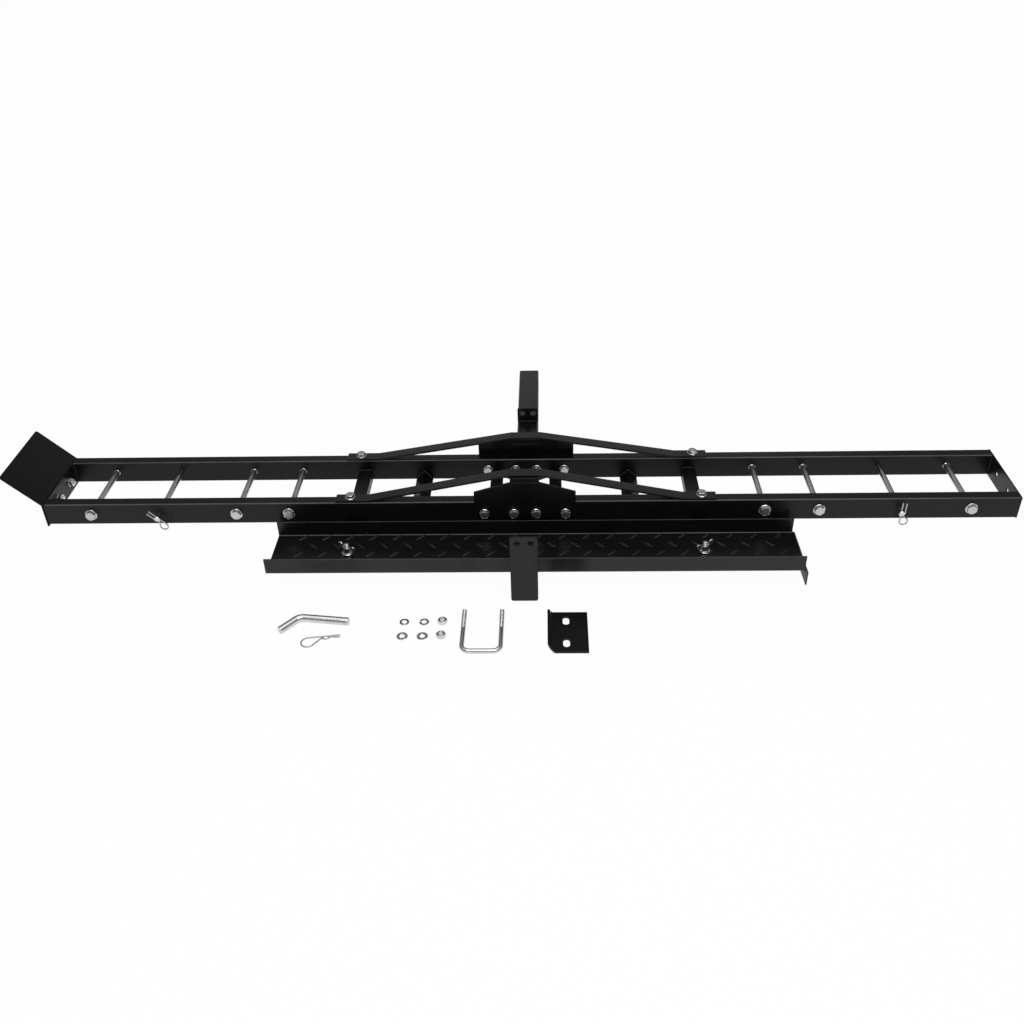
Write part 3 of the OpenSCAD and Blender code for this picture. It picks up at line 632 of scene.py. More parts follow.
def powder_coat(name, colour, rough, peel, level=0.30):
    """Semi-gloss black powder coat: fine orange peel, faint mottling, a little dust."""
    material, tree, shader = tree_of(name)
    mottle = noise(tree, scale=9, detail=5)
    low = [c * 0.75 for c in colour]
    high = [c * 1.35 for c in colour]
    tint = ramp_node(tree, mottle, "Fac", [(0.3, low), (0.7, high)])
    link(tree, tint, "Color", shader, "Base Color")
    dust = noise(tree, scale=140, detail=3)
    sheen = ramp_node(tree, dust, "Fac", [(0.25, (rough - 0.05,) * 3), (0.75, (rough + 0.07,) * 3)])
    link(tree, sheen, "Color", shader, "Roughness")
    shader.inputs["Specular IOR Level"].default_value = level
    grain = noise(tree, scale=900, detail=2)
    bump(tree, shader, grain, "Fac", strength=peel, distance=0.4 * MM)
    return material


def bright_zinc(name, colour, rough):
    """Bright zinc plate: cloudy tint, fine scuffs."""
    material, tree, shader = tree_of(name)
    shader.inputs["Metallic"].default_value = 1.0
    cloud = noise(tree, scale=60, detail=4)
    tint = ramp_node(tree, cloud, "Fac", [(0.3, [c * 0.86 for c in colour]), (0.7, colour)])
    link(tree, tint, "Color", shader, "Base Color")
    scuff = noise(tree, scale=420, detail=5, rough=0.7)
    gloss = ramp_node(tree, scuff, "Fac", [(0.3, (rough - 0.07,) * 3), (0.75, (rough + 0.12,) * 3)])
    link(tree, gloss, "Color", shader, "Roughness")
    bump(tree, shader, scuff, "Fac", strength=0.12, distance=0.2 * MM)
    return material


coat = powder_coat("coat", (0.0022, 0.0022, 0.0024), 0.34, 0.10)
# The arches and upright get a lighter, glossier copy of the frame's coat: a painted sheen on them.
arch_coat_painted_sheen = powder_coat("arch_coat_painted_sheen", (0.0024, 0.0024, 0.0026), 0.34, 0.10, 0.40)
# The stop plate gets a darker, duller copy of the frame's coat: painted shade on it.
stop_coat_painted_shade = powder_coat("stop_coat_painted_shade", (0.0016, 0.0016, 0.0018), 0.30, 0.10, 0.20)
# The ramp gets a copy of the frame's coat with stronger gloss: a painted sheen on it.
deck_coat_painted_sheen = powder_coat("deck_coat_painted_sheen", (0.0020, 0.0020, 0.0022), 0.30, 0.12, 0.46)
# The weld beads are coated lighter than the frame they join: a painted highlight on them.
weld_coat_painted_highlight = powder_coat("weld_coat_painted_highlight", (0.012, 0.012, 0.0125), 0.24, 0.12)
# A lighter, glossier coat for rounded corners: a painted highlight along them.
edge_coat_painted_highlight = powder_coat("edge_coat_painted_highlight", (0.070, 0.070, 0.072), 0.28, 0.08)
# The treads are coated lighter than the deck they stand on: a painted highlight on them.
tread_coat_painted_highlight = powder_coat("tread_coat_painted_highlight", (0.014, 0.014, 0.0145), 0.26, 0.08)
zinc = bright_zinc("zinc", (0.78, 0.785, 0.79), 0.22)
rod_zinc = bright_zinc("rod_zinc", (0.64, 0.645, 0.655), 0.34)
thread_zinc = bright_zinc("thread_zinc", (0.62, 0.625, 0.63), 0.30)
clip_zinc = bright_zinc("clip_zinc", (0.55, 0.555, 0.56), 0.32)


def paint_corner_highlights(piece, *sides):
    """Paints a highlight on the corners along X near the given Y: they get their own coat, lighter and
    glossier than the rest.
    """
    piece.data.materials.append(edge_coat_painted_highlight)
    for face in piece.data.polygons:
        slanted = min(abs(face.normal.y), abs(face.normal.z)) > SLANT
        if slanted and min(abs(face.center.y - side) for side in sides) < 2 * RAMP_T:
            face.material_index = 1


# The frame's tubes and plates

def make_rails():
    for node in RAILS:
        lo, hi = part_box(node)
        piece = square_tube(node + "_metal", "X", lo.x, hi.x, (lo.y, lo.z), (hi.y, hi.z),
                            RAIL_WALL, RAIL_CORNER)
        finish_piece(piece, coat, "frame", node)
        paint_corner_highlights(piece, lo.y, hi.y)


def make_cross_tubes():
    for node in CROSS_TUBES:
        lo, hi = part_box(node)
        piece = square_tube(node + "_metal", "Y", lo.y, hi.y, (lo.x, lo.z), (hi.x, hi.z),
                            TUBE_WALL, RAIL_CORNER)
        finish_piece(piece, coat, "frame", node)


def make_bar():
    """The hitch bar, with its pin hole cut through both walls."""
    lo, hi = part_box("hitch_bar")
    piece = square_tube("hitch_bar_metal", "Y", lo.y, hi.y, (lo.x, lo.z), (hi.x, hi.z),
                        BAR_WALL, BAR_CORNER)
    drill(piece, PIN_HOLE_R, (0, 0, 0), "+X")
    finish_piece(even_shading(piece), coat, "frame", "hitch_bar")


def make_plates():
    finish_piece(dressed("bar_upright"), arch_coat_painted_sheen, "frame", "bar_upright")
    for node in PLATES:
        finish_piece(dressed(node), coat, "frame", node)
    for node in CROSS_ANGLES:
        finish_piece(dressed(node, ANGLE_BEVEL, 3), coat, "frame", node)


def make_stop_plate():
    """The bent stop plate, with a rolled bend and round free corners."""
    lo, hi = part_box("stop_plate")
    bend = Vector((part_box("end_plate_left")[0].x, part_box("rail_front_left")[1].z))
    far = bend + Vector((-math.cos(STOP_ANGLE), math.sin(STOP_ANGLE))) * STOP_LEN
    section = bent_strip([(bend.x, lo.z), bend, far], STOP_T, STOP_BEND, steps=8)
    piece = extrude_section("stop_plate_metal", section, "Y", lo.y, hi.y)
    round_free_corners(piece, far, STOP_CORNER)
    soften_edges(piece, PLATE_BEVEL)
    finish_piece(piece, stop_coat_painted_shade, "frame", "stop_plate")


def round_free_corners(piece, tip, radius):
    """Rounds the two corners of a plate at its free end."""
    bm = bmesh.new()
    bm.from_mesh(piece.data)
    corners = []
    for edge in bm.edges:
        a, b = edge.verts
        near = all((Vector((v.co.x, v.co.z)) - tip).length < 2 * STOP_T for v in (a, b))
        across = abs(a.co.y - b.co.y) < 1e-6
        if near and across and edge.calc_length() > STOP_T * 0.9:
            corners.append(edge)
    bmesh.ops.bevel(bm, geom=corners, offset=radius, segments=6, affect="EDGES", profile=0.5)
    bm.to_mesh(piece.data)
    bm.free()


def make_arches():
    """Each arch as one bent flat bar."""
    for node in ("arch_front", "arch_rear"):
        lo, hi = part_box(node)
        base = lo.z
        top = hi.z - ARCH_T
        path = [(lo.x, base), (-ARCH_BEND, base), (-CROWN_HALF, top), (CROWN_HALF, top),
                (ARCH_BEND, base), (hi.x, base)]
        section = bent_strip(path, ARCH_T, ARCH_ROUND)
        piece = extrude_section(node + "_metal", section, "Y", lo.y, hi.y)
        soften_edges(piece, ARCH_BEVEL, 3)
        finish_piece(piece, arch_coat_painted_sheen, "frame", node)


# Welds

def weld(radius, *points):
    """A bead of overlapping ripples along a path, half sunk in the joint."""
    knots = [Vector(p) for p in points]
    bm = bmesh.new()
    rings = []
    for a, b in zip(knots, knots[1:]):
        along = (b - a).normalized()
        normal = along.orthogonal().normalized()
        n = max(3, int((b - a).length / WELD_STEP * 4))
        for i in range(n + 1):
            ripple = 1 + WELD_RIPPLE * (math.sin(i * math.pi / 2) - 1)
            ripple += random.uniform(-WELD_UNEVEN, WELD_UNEVEN)
            end = min(1.0, WELD_END + min(i, n - i) * WELD_TAPER)
            centre = a + (b - a) * i / n
            rings.append(ring_across(bm, centre, normal, along.cross(normal), radius * ripple * end, 8))
    skin(bm, rings)
    return from_bmesh("bead", bm)


def make_welds():
    """Beads where the welded pieces of the frame meet."""
    beads = []
    bar_lo, bar_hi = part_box("hitch_bar")
    for node, bead, side_lo, side_hi in (("gusset_front", GUSSET_BEAD, bar_lo, bar_hi),
                                         ("gusset_rear", GUSSET_BEAD, bar_lo, bar_hi),
                                         ("bar_tab", TAB_BEAD, *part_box("bar_tab"))):
        lo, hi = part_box(node)
        for y in (lo.y, hi.y):
            beads.append(weld(bead, (side_lo.x + WELD_IN, y, lo.z), (side_hi.x - WELD_IN, y, lo.z)))
    lo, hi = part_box("bar_upright")
    beads.append(weld(UPRIGHT_BEAD, (lo.x + WELD_IN, hi.y, bar_hi.z), (hi.x - WELD_IN, hi.y, bar_hi.z)))
    for x in (bar_lo.x, bar_hi.x):
        beads.append(weld(PLATE_BEAD, (x, hi.y, bar_lo.z + 2 * WELD_IN), (x, hi.y, bar_hi.z - WELD_IN)))
    for node in CROSS_TUBES:
        lo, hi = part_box(node)
        for y in (lo.y, hi.y):
            beads.append(weld(TUBE_BEAD, (lo.x, y, lo.z + WELD_IN), (lo.x + WELD_CORNER, y, hi.z),
                              (hi.x - WELD_CORNER, y, hi.z), (hi.x, y, lo.z + WELD_IN)))
    for node in CROSS_ANGLES:
        lo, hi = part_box(node)
        for y in (lo.y, hi.y):
            beads.append(weld(TUBE_BEAD, (lo.x + WELD_CORNER, y, lo.z + WELD_IN), (middle(node).x, y, hi.z),
                              (hi.x - WELD_CORNER, y, lo.z + WELD_IN)))
    pads_lo, pads_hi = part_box("arch_pads")
    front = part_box("rail_front_left")[1].y
    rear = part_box("rail_rear_left")[0].y
    for arch, gusset, ys in (("arch_front", "gusset_front", (pads_lo.y, front)),
                             ("arch_rear", "gusset_rear", (rear, pads_hi.y))):
        for z in (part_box(arch)[1].z - ARCH_T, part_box(gusset)[1].z):
            for y in ys:
                beads.append(weld(PAD_BEAD, (pads_lo.x + WELD_IN, y, z), (pads_hi.x - WELD_IN, y, z)))
    for node, side in (("end_plate_left", 1), ("end_plate_right", 0)):
        lo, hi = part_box(node)
        x = (lo, hi)[side].x
        for y in (front, rear):
            beads.append(weld(PLATE_BEAD, (x, y, lo.z + WELD_IN), (x, y, hi.z - WELD_IN)))
    finish_piece(join("weld_beads", beads), weld_coat_painted_highlight, "frame")


# Bolts, nuts and rods

def make_gusset_bolts():
    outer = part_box("gusset_bolts")[1].x - WASHER_R
    z = middle("gusset_bolts").z
    near_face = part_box("gusset_front")[0].y
    inner_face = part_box("rail_rear_left")[0].y
    nut_faces = (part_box("rail_front_left")[1].y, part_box("gusset_rear")[1].y)
    heads, nuts = [], []
    for x in (-outer, -GUSSET_BOLT_IN, GUSSET_BOLT_IN, outer):
        for y in (near_face, inner_face):
            heads.append(head_and_washer("h", (x, y, z), "-Y"))
        for y in nut_faces:
            nuts.append(head_and_washer("n", (x, y, z), "+Y", bare_nut=True))
    finish_piece(join("gusset_bolt_heads", heads), zinc, "frame", "gusset_bolts")
    finish_piece(join("gusset_nuts_metal", nuts), zinc, "frame", "gusset_nuts")


def make_arch_bolts():
    lo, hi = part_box("arch_bolts")
    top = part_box("arch_front")[0].z + ARCH_T
    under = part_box("rail_front_left")[0].z
    x = hi.x - ARCH_WASHER_R
    heads, nuts = [], []
    for s in (-1, 1):
        for y, grip in ((lo.y + ARCH_WASHER_R, ARM_T), (hi.y - ARCH_WASHER_R, 0)):
            heads.append(head_and_washer("h", (s * x, y, top), "+Z", ARCH_WASHER_R))
            nuts.append(head_and_washer("n", (s * x, y, under - grip), "-Z", ARCH_WASHER_R, True))
    finish_piece(join("arch_bolt_heads", heads), zinc, "frame", "arch_bolts")
    finish_piece(join("arch_nuts_metal", nuts), zinc, "frame", "arch_nuts")


def make_rods():
    """The six cross rods: long bolts with a collar inside the far rail and a nut outside it."""
    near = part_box("rail_front_left")[0].y
    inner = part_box("rail_rear_left")[0].y
    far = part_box("rail_rear_left")[1].y
    washers, nuts = [], []
    for i in range(6):
        node = "rod_%d" % (i + 1)
        x, z = middle(node).xz
        shank = lathe("s", [(0, 0), (ROD_R, 0), (ROD_R, inner - near), (0, inner - near)], 28, False)
        head = hex_block("h", ROD_FLATS, HEAD_H)
        parts = [place(shank, (x, near - WASHER_T, z), "+Y"),
                 place(head, (x, near - WASHER_T, z), "-Y", random.uniform(0, 1)),
                 place(thread("t", ROD_R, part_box(node)[1].y - inner), (x, inner, z), "+Y")]
        finish_piece(join(node + "_metal", parts), rod_zinc, "frame", node)
        for y, way, outer in ((near, "-Y", ROD_WASHER_R), (inner, "-Y", COLLAR_R),
                              (far, "+Y", ROD_WASHER_R)):
            washers.append(place(washer("w", outer, ROD_R, WASHER_T), (x, y, z), way))
        nuts.append(place(nut("n", ROD_FLATS, ROD_R), (x, far + WASHER_T, z), "+Y",
                          random.uniform(0, 1)))
    finish_piece(join("rod_washers_metal", washers), zinc, "frame", "rod_washers")
    finish_piece(join("rod_nuts_metal", nuts), zinc, "frame", "rod_nuts")


def make_stop_bolts():
    lo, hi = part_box("stop_bolts")
    y_mid, z = middle("stop_bolts").yz
    spread = (hi.y - lo.y) / 2 - WASHER_R
    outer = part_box("end_plate_left")[0].x - STOP_T
    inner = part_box("end_plate_left")[1].x
    parts = []
    for s in (-1, 1):
        y = y_mid + s * spread
        parts.append(place(hex_block("h", HEX_FLATS, HEAD_H), (outer, y, z), "-X", 0.3))
        parts.append(head_and_washer("n", (inner, y, z), "+X", WASHER_R, True))
    finish_piece(join("stop_bolts_metal", parts), zinc, "frame", "stop_bolts")


# Strap pins and their clips

def make_strap_pins():
    """Headed pins, cross drilled for their clips."""
    for side in ("left", "right"):
        node = "strap_pin_" + side
        lo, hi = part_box(node)
        x, z = middle(node).xz
        long = hi.y - lo.y
        neck = long - STRAP_HEAD_H
        head_r = (hi.z - lo.z) / 2
        edge = STRAP_PIN_EDGE
        hole = middle("strap_clip_" + side).y - lo.y
        piece = lathe(node + "_metal", [
            (0, 0), (STRAP_PIN_R - edge, 0), (STRAP_PIN_R, edge), (STRAP_PIN_R, hole - HOLE_BAND),
            (STRAP_PIN_R, hole + HOLE_BAND), (STRAP_PIN_R, neck), (head_r - edge, neck),
            (head_r, neck + edge), (head_r, long - edge), (head_r - edge, long), (0, long)], 40, False)
        drill(piece, CLIP_HOLE_R, (0, 0, hole), "+Y")
        place(even_shading(piece), (x, lo.y, z), "+Y", -CLIP_LEAN[side])
        finish_piece(piece, zinc, node, node)


def clip_outline(clip, bow_r, closed):
    """A spring clip: straight leg on a = 0, loop below, bowed leg round the pin."""
    wire_r, up, reach, loop_r = clip["wire_r"], clip["up"], clip["reach"], clip["loop_r"]
    bow = bow_r + wire_r + CLIP_PLAY
    points = [(0, up), (0, up / 2), (0, 0), (0, -reach / 2)]
    points += arc(loop_r, -reach, loop_r, 180, LOOP_END, 14)
    points += arc(0, 0, bow, -BOW_END, BOW_END if closed else 0, 8)
    if closed:
        return points + [(2 * wire_r + 0.6 * MM, bow + 3.2 * wire_r), (2 * wire_r + 3 * MM, up - 1 * MM)]
    return points + [(bow - CLIP_PLAY, bow), (bow, up - 1 * MM)]


def make_strap_clips():
    for s, side in ((-1, "left"), (1, "right")):
        node = "strap_clip_" + side
        centre = middle("strap_pin_" + side)
        centre.y = middle(node).y
        spin = Matrix.Rotation(-CLIP_LEAN[side], 4, "Y")
        path = [centre + spin @ Vector((s * a, 0, b))
                for a, b in clip_outline(STRAP_CLIP, STRAP_PIN_R, False)]
        piece = tube(node + "_metal", smooth_path(path, 4), STRAP_CLIP["wire_r"], 12)
        finish_piece(piece, clip_zinc, node, node)


# The ramp

def lozenge(bm, x, y, z, angle):
    """A raised tread bar with pointed ends and a crowned top."""
    rings = []
    steps = 12
    for share, height in TREAD_RINGS:
        ring = []
        for k in range(2 * steps):
            t = math.pi * k / steps
            a = math.cos(t) * TREAD_LEN / 2 * (TREAD_BLUNT + (1 - TREAD_BLUNT) * share)
            b = math.copysign(abs(math.sin(t)) ** TREAD_POINT, math.sin(t)) * TREAD_W / 2 * share
            ring.append(bm.verts.new((x + a * math.cos(angle) - b * math.sin(angle),
                                      y + a * math.sin(angle) + b * math.cos(angle),
                                      z + TREAD_H * height)))
        rings.append(ring)
    for one, two in zip(rings, rings[1:]):
        bridge(bm, one, two)
    bm.faces.new(rings[-1])


def make_ramp():
    """A folded channel with a hook lip at its right end and a tread deck."""
    lo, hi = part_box("ramp")
    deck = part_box("hitch_bar")[1].z
    flange_end = hi.x - LIP_OUT
    path = [(lo.y, hi.z), (lo.y, deck), (hi.y, deck), (hi.y, hi.z)]
    section = bent_strip(path, RAMP_T, RAMP_BEND)
    channel = extrude_section("channel", section, "X", lo.x, flange_end)
    soften_edges(channel, RAMP_BEVEL)
    lip_path = [(hi.x, lo.z), (hi.x, deck + RAMP_T), (flange_end - LIP_LAP, deck + RAMP_T)]
    lip = extrude_section("lip", bent_strip(lip_path, RAMP_T, LIP_BEND, steps=8), "Y", lo.y, hi.y)
    soften_edges(lip, RAMP_BEVEL)
    metal = finish_piece(join("ramp_metal", [channel, lip]), deck_coat_painted_sheen, "ramp", "ramp")
    paint_corner_highlights(metal, lo.y, hi.y)
    bm = bmesh.new()
    bars = int((flange_end - lo.x) // TREAD_PITCH)
    centre = (lo.x + flange_end) / 2
    for r in range(TREAD_ROWS):
        for i in range(bars - r % 2):
            x = centre + (i - (bars - 1) / 2 + (r % 2) / 2 + TREAD_SHIFT) * TREAD_PITCH
            y = hi.y - RAMP_T - TREAD_EDGE - r * TREAD_ROW_GAP
            lozenge(bm, x, y, deck + RAMP_T, TREAD_LEAN if r % 2 == 0 else -TREAD_LEAN)
    finish_piece(from_bmesh("ramp_treads", bm), tread_coat_painted_highlight, "ramp")


def make_ramp_arms():
    """The arms below the ramp, with their threaded studs."""
    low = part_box("hitch_bar")[1].z - ARM_T
    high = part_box("rail_front_left")[0].z - ARM_T
    step_y = (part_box("rail_front_left")[0].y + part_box("ramp")[1].y + ARM_T) / 2
    for side in ("left", "right"):
        node = "ramp_arm_" + side
        lo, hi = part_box(node)
        path = [(lo.y, low), (step_y, low), (step_y, high), (hi.y, high)]
        section = bent_strip(path, ARM_T, ARM_BEND, steps=5)
        strap = extrude_section(node + "_metal", section, "X", lo.x, hi.x)
        soften_edges(strap, PLATE_BEVEL)
        finish_piece(strap, coat, "frame", node)
        stud = place(thread("stud_" + side, BOLT_R, hi.z - low), (middle(node).x, middle("ramp").y, low))
        finish_piece(stud, thread_zinc, "frame")


def wing(name):
    """One wing of a wing nut: a rounded ear rising from the hub."""
    outline = smooth_path([(a * MM, b * MM) for a, b in WING_OUTLINE], 4)
    return soften_edges(extrude_section(name, outline, "Y", -WING_T / 2, WING_T / 2), WING_BEVEL, 3)


def make_wing_nuts():
    washer_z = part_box("wing_washers")[0].z
    for s, side in ((-1, "left"), (1, "right")):
        node = "wing_nut_" + side
        x, y = middle(node).xy
        hub = lathe("hub", [(r * MM, z * MM) for r, z in HUB_PROFILE])
        two = place(wing("wing_b"), (0, 0, 0), "+Z", math.pi)
        whole = join(node + "_metal", [hub, wing("wing_a"), two])
        place(whole, (x, y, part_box(node)[0].z), "+Z", s * WING_TURN)
        finish_piece(whole, zinc, node, node)
        ring = washer("wing_washer_" + side, WING_WASHER_R, WING_WASHER_HOLE_R, WASHER_T - SEAT)
        place(ring, (x, y, washer_z))
        if side == "left":
            finish_piece(ring, zinc, "ramp", "wing_washers")
        else:
            finish_piece(ring, zinc, "ramp")


# Loose hardware on the floor

def make_hitch_pin():
    """A bent pin with a cross hole near its tip."""
    lo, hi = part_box("hitch_pin")
    r = (hi.z - lo.z) / 2
    lead = PIN_BEND * math.tan(PIN_TURN / 2)
    bend = arc(lead, -PIN_BEND, PIN_BEND, 90, 90 + math.degrees(PIN_TURN), 14)
    run = Vector((-math.cos(PIN_TURN), -math.sin(PIN_TURN)))
    handle = Vector(bend[-1]) + run * (PIN_HANDLE - lead)
    hole = PIN_LEG - PIN_TIP_BACK
    flat = [(PIN_LEG, 0), (hole + HOLE_BAND, 0), (hole - HOLE_BAND, 0), (lead + PIN_EASE, 0)]
    flat += bend + [tuple(handle)]
    corner = Vector((hi.x - PIN_LEG * math.cos(PIN_LEAN) - r * math.sin(PIN_LEAN),
                     hi.y + lead * math.sin(PIN_LEAN) + PIN_BEND * (math.cos(PIN_LEAN) - 1) - r, lo.z + r))
    spin = Matrix.Rotation(-PIN_LEAN, 4, "Z")
    piece = tube("hitch_pin_metal", [corner + spin @ Vector((a, b, 0)) for a, b in flat], r, 40)
    drill(piece, PIN_CROSS_R, corner + spin @ Vector((hole, 0, 0)), "+Z")
    finish_piece(even_shading(piece), zinc, "hitch_pin", "hitch_pin")


def make_hitch_clip():
    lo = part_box("hitch_clip")[0]
    spin = Matrix.Rotation(-HITCH_CLIP_LEAN, 4, "Z")
    wire_r = HITCH_CLIP["wire_r"]
    points = [spin @ Vector((a, b, 0)) for a, b in clip_outline(HITCH_CLIP, HITCH_CLIP_BOW_R, True)]
    low = Vector((min(p.x for p in points), min(p.y for p in points), 0))
    shift = Vector((lo.x + wire_r, lo.y + wire_r, middle("hitch_clip").z)) - low
    path = smooth_path([p + shift for p in points], 4)
    finish_piece(tube("hitch_clip_metal", path, wire_r, 12), clip_zinc, "hitch_clip", "hitch_clip")


def make_u_bolt():
    lo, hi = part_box("u_bolt")
    r = (hi.z - lo.z) / 2
    z = lo.z + r
    x0, x1 = lo.x + r, hi.x - r
    y0, y1 = lo.y + r, hi.y - U_THREAD
    half_way = (y0 + y1) / 2 + U_EASE
    path = [(x0, y1 + U_LAP, z), (x0, half_way, z)]
    for x, turn in ((x0 + U_BEND, 180), (x1 - U_BEND, 270)):
        path += [(a, b, z) for a, b in arc(x, y0 + U_BEND, U_BEND, turn, turn + 90, 10)]
    path += [(x1, half_way, z), (x1, y1 + U_LAP, z)]
    finish_piece(tube("u_bolt_metal", path, r, 24), zinc, "u_bolt", "u_bolt")
    legs = [place(thread("leg", r - U_LEG_IN, U_THREAD), (x, y1, z), "+Y") for x in (x0, x1)]
    finish_piece(join("u_bolt_threads", legs), thread_zinc, "u_bolt")


def make_clamp_plate():
    """A bent plate with its near left corner cut off and two slots."""
    lo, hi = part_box("clamp_plate")
    section = bent_strip([(lo.x, hi.z), (lo.x, lo.z), (hi.x, lo.z)], CLAMP_T, CLAMP_BEND, steps=8)
    plate = extrude_section("clamp_plate_metal", section, "Y", lo.y, hi.y)
    bm = bmesh.new()
    bm.from_mesh(plate.data)
    cut = bmesh.ops.bisect_plane(bm, geom=bm.verts[:] + bm.edges[:] + bm.faces[:], clear_outer=True,
                                 plane_co=(lo.x + CLAMP_CUT, lo.y, lo.z), plane_no=(-1, -1, 0))
    rim = [part for part in cut["geom_cut"] if isinstance(part, bmesh.types.BMEdge)]
    bmesh.ops.holes_fill(bm, edges=rim)
    bm.to_mesh(plate.data)
    bm.free()
    x, y_mid = lo.x + SLOT_EDGE, middle("clamp_plate").y
    for y in (y_mid - SLOT_GAP / 2, y_mid + SLOT_GAP / 2):
        outline = round_rect(x - SLOT_W / 2, y - SLOT_LEN / 2, x + SLOT_W / 2, y + SLOT_LEN / 2,
                             SLOT_ROUND * SLOT_W, 8)
        cut_out(plate, extrude_section("cutter", outline, "Z", lo.z - CLAMP_T, lo.z + 2 * CLAMP_T))
    soften_edges(plate, PLATE_BEVEL, 3)
    finish_piece(plate, coat, "clamp_plate", "clamp_plate")


def make_small_hardware():
    """Two rows on the floor: spring washers and a nut far, flat washers and a nut near."""
    lo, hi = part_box("flat_washers")
    outer = (hi.y - lo.y) / 2
    near_y = lo.y + outer
    flats = [place(washer("w", outer, LOOSE_HOLE_R, WASHER_T), (x, near_y, lo.z))
             for x in (lo.x + outer, hi.x - outer)]
    finish_piece(join("flat_washers_metal", flats), zinc, "small_hardware", "flat_washers")
    lo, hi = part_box("spring_washers")
    outer = (hi.y - lo.y) / 2
    far_y = lo.y + outer
    springs = [spring_washer("s", outer, (x, far_y, lo.z), turn)
               for x, turn in zip((lo.x + outer, hi.x - outer), SPRING_TURNS)]
    finish_piece(join("spring_washers_metal", springs), zinc, "small_hardware", "spring_washers")
    x, z = middle("loose_nuts").x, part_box("loose_nuts")[0].z
    nuts = [place(nut("n", HEX_FLATS, BOLT_R), (x, y, z), "+Z", turn)
            for y, turn in ((far_y, math.radians(15)), (near_y, 0))]
    finish_piece(join("loose_nuts_metal", nuts), zinc, "small_hardware", "loose_nuts")


def spring_washer(name, outer, where, turn, steps=44):
    """A split ring of square wire whose ends stand a little apart in height."""
    thick = SPRING_T * SPRING_WIRE
    rise = SPRING_T - thick
    bm = bmesh.new()
    rings = []
    for k in range(steps + 1):
        share = k / steps
        t = math.radians(turn + SPRING_GAP / 2 + (360 - SPRING_GAP) * share)
        rings.append([bm.verts.new((r * math.cos(t), r * math.sin(t), rise * share + h))
                      for r, h in ((LOOSE_HOLE_R, 0), (outer, 0), (outer, thick), (LOOSE_HOLE_R, thick))])
    skin(bm, rings)
    return place(soften_edges(from_bmesh(name, bm), SPRING_BEVEL), where)


# Floor, lights and camera

def camera_matrix():
    """The camera's place and aim, from the fitted pitch, yaw and roll."""
    cp, sp = math.cos(CAMERA_PITCH), math.sin(CAMERA_PITCH)
    cy, sy = math.cos(CAMERA_YAW), math.sin(CAMERA_YAW)
    forward = Vector((-sy * cp, cy * cp, -sp))
    right = Vector((cy, sy, 0))
    down = forward.cross(right)
    cr, sr = math.cos(CAMERA_ROLL), math.sin(CAMERA_ROLL)
    rolled_right = cr * right + sr * down
    rolled_down = -sr * right + cr * down
    rows = Matrix((rolled_right, -rolled_down, -forward)).transposed().to_4x4()
    return Matrix.Translation(CAMERA_PLACE) @ rows


def make_camera():
    camera = new_object("camera", bpy.data.cameras.new("camera"))
    camera.data.sensor_fit = "HORIZONTAL"
    camera.data.sensor_width = SENSOR_MM
    camera.data.lens = FOCAL_PX / PHOTO_PX * SENSOR_MM
    camera.data.clip_start = CLIP_NEAR
    camera.data.clip_end = CLIP_FAR
    camera.matrix_world = camera_matrix()
    bpy.context.scene.camera = camera


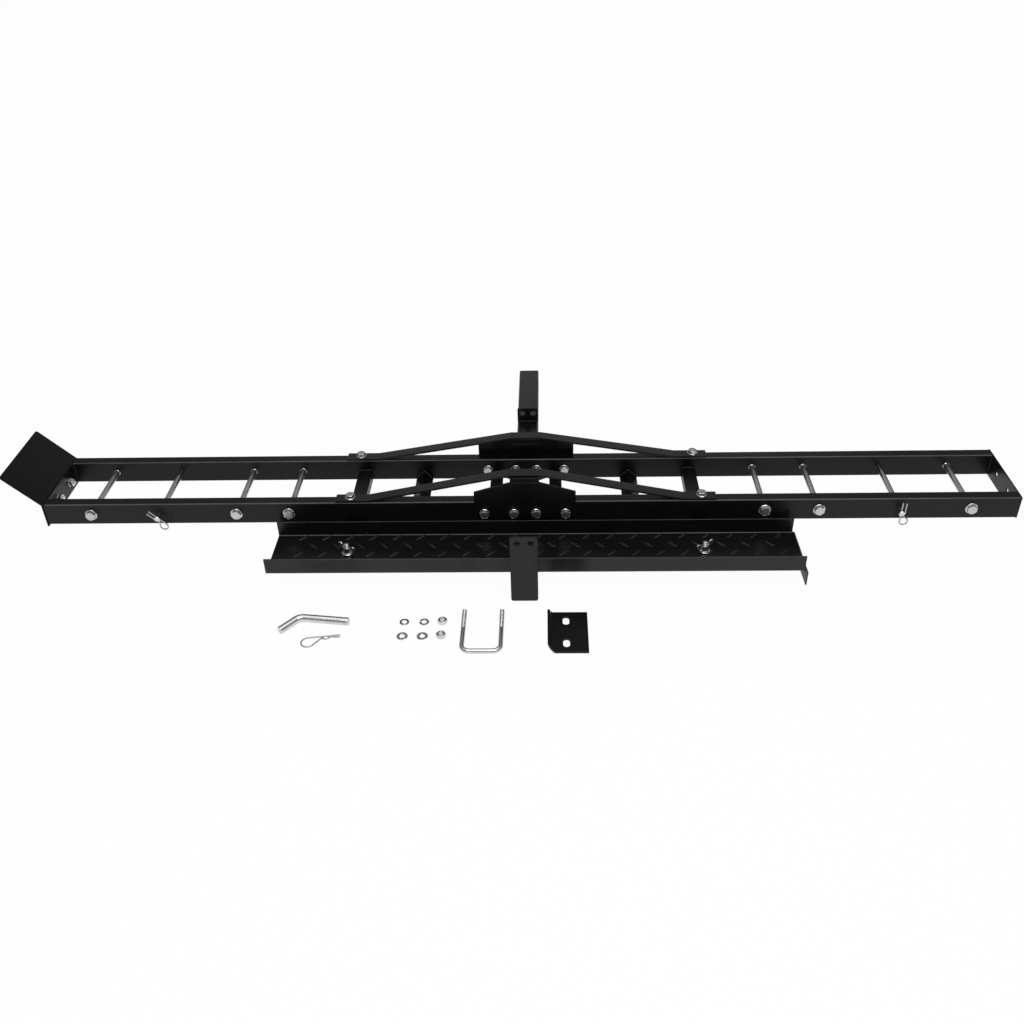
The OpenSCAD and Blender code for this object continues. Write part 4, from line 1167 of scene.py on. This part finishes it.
def make_floor():
    """A white floor that stays white to the eye and keeps a soft shadow."""
    bm = bmesh.new()
    bmesh.ops.create_grid(bm, x_segments=1, y_segments=1, size=FLOOR_HALF)
    floor = from_bmesh("floor", bm, False)
    floor.location = (0, -0.5, FLOOR_Z)
    material = bpy.data.materials.new("floor")
    material.use_nodes = True
    tree = material.node_tree
    tree.nodes.clear()
    out = tree.nodes.new("ShaderNodeOutputMaterial")
    mix = tree.nodes.new("ShaderNodeMixShader")
    path = tree.nodes.new("ShaderNodeLightPath")
    seen = math_node(tree, "MULTIPLY", path.outputs["Is Camera Ray"], FLOOR_GLOW)
    gloss = math_node(tree, "MULTIPLY", path.outputs["Is Glossy Ray"], FLOOR_GLOSS)
    share = math_node(tree, "ADD", seen.outputs[0], gloss.outputs[0])
    matte = tree.nodes.new("ShaderNodeBsdfDiffuse")
    matte.inputs["Color"].default_value = (FLOOR_GREY, FLOOR_GREY, FLOOR_GREY, 1)
    glow = tree.nodes.new("ShaderNodeEmission")
    glow.inputs["Color"].default_value = (1, 1, 1, 1)
    tree.links.new(share.outputs[0], mix.inputs["Fac"])
    tree.links.new(matte.outputs[0], mix.inputs[1])
    tree.links.new(glow.outputs[0], mix.inputs[2])
    tree.links.new(mix.outputs[0], out.inputs["Surface"])
    floor.data.materials.append(material)


def math_node(tree, operation, one, two):
    """A Math node over two sockets, or over a socket and a number."""
    node = tree.nodes.new("ShaderNodeMath")
    node.operation = operation
    for socket, value in zip(node.inputs, (one, two)):
        if isinstance(value, float):
            socket.default_value = value
        else:
            tree.links.new(value, socket)
    return node


def make_world():
    """White to the eye, a plain level for the object, and dimmer in its gloss."""
    world = bpy.data.worlds.new("studio")
    bpy.context.scene.world = world
    world.use_nodes = True
    tree = world.node_tree
    tree.nodes.clear()
    out = tree.nodes.new("ShaderNodeOutputWorld")
    path = tree.nodes.new("ShaderNodeLightPath")
    sky = tree.nodes.new("ShaderNodeBackground")
    sky.inputs["Color"].default_value = (1, 1, 1, 1)
    seen = math_node(tree, "MULTIPLY", path.outputs["Is Camera Ray"], WORLD_SEEN - WORLD_LIGHT)
    gloss = math_node(tree, "MULTIPLY", path.outputs["Is Glossy Ray"], WORLD_GLOSS - WORLD_LIGHT)
    both = math_node(tree, "ADD", seen.outputs[0], gloss.outputs[0])
    level = math_node(tree, "ADD", both.outputs[0], WORLD_LIGHT)
    tree.links.new(level.outputs[0], sky.inputs["Strength"])
    tree.links.new(sky.outputs[0], out.inputs["Surface"])


def make_lights():
    for name, where, size, power in LAMPS:
        light = bpy.data.lights.new(name, "AREA")
        light.shape = "RECTANGLE"
        light.size, light.size_y = size
        light.energy = power
        lamp = new_object(name, light)
        lamp.location = where
        lamp.rotation_euler = (LAMP_AIM - Vector(where)).to_track_quat("-Z", "Y").to_euler()


make_camera()
make_floor()
make_world()
make_lights()
make_rails()
make_cross_tubes()
make_bar()
make_plates()
make_stop_plate()
make_arches()
make_welds()
make_gusset_bolts()
make_arch_bolts()
make_rods()
make_stop_bolts()
make_strap_pins()
make_strap_clips()
make_ramp()
make_ramp_arms()
make_wing_nuts()
make_hitch_pin()
make_hitch_clip()
make_u_bolt()
make_clamp_plate()
make_small_hardware()

bpy.context.scene.view_settings.view_transform = "Standard"
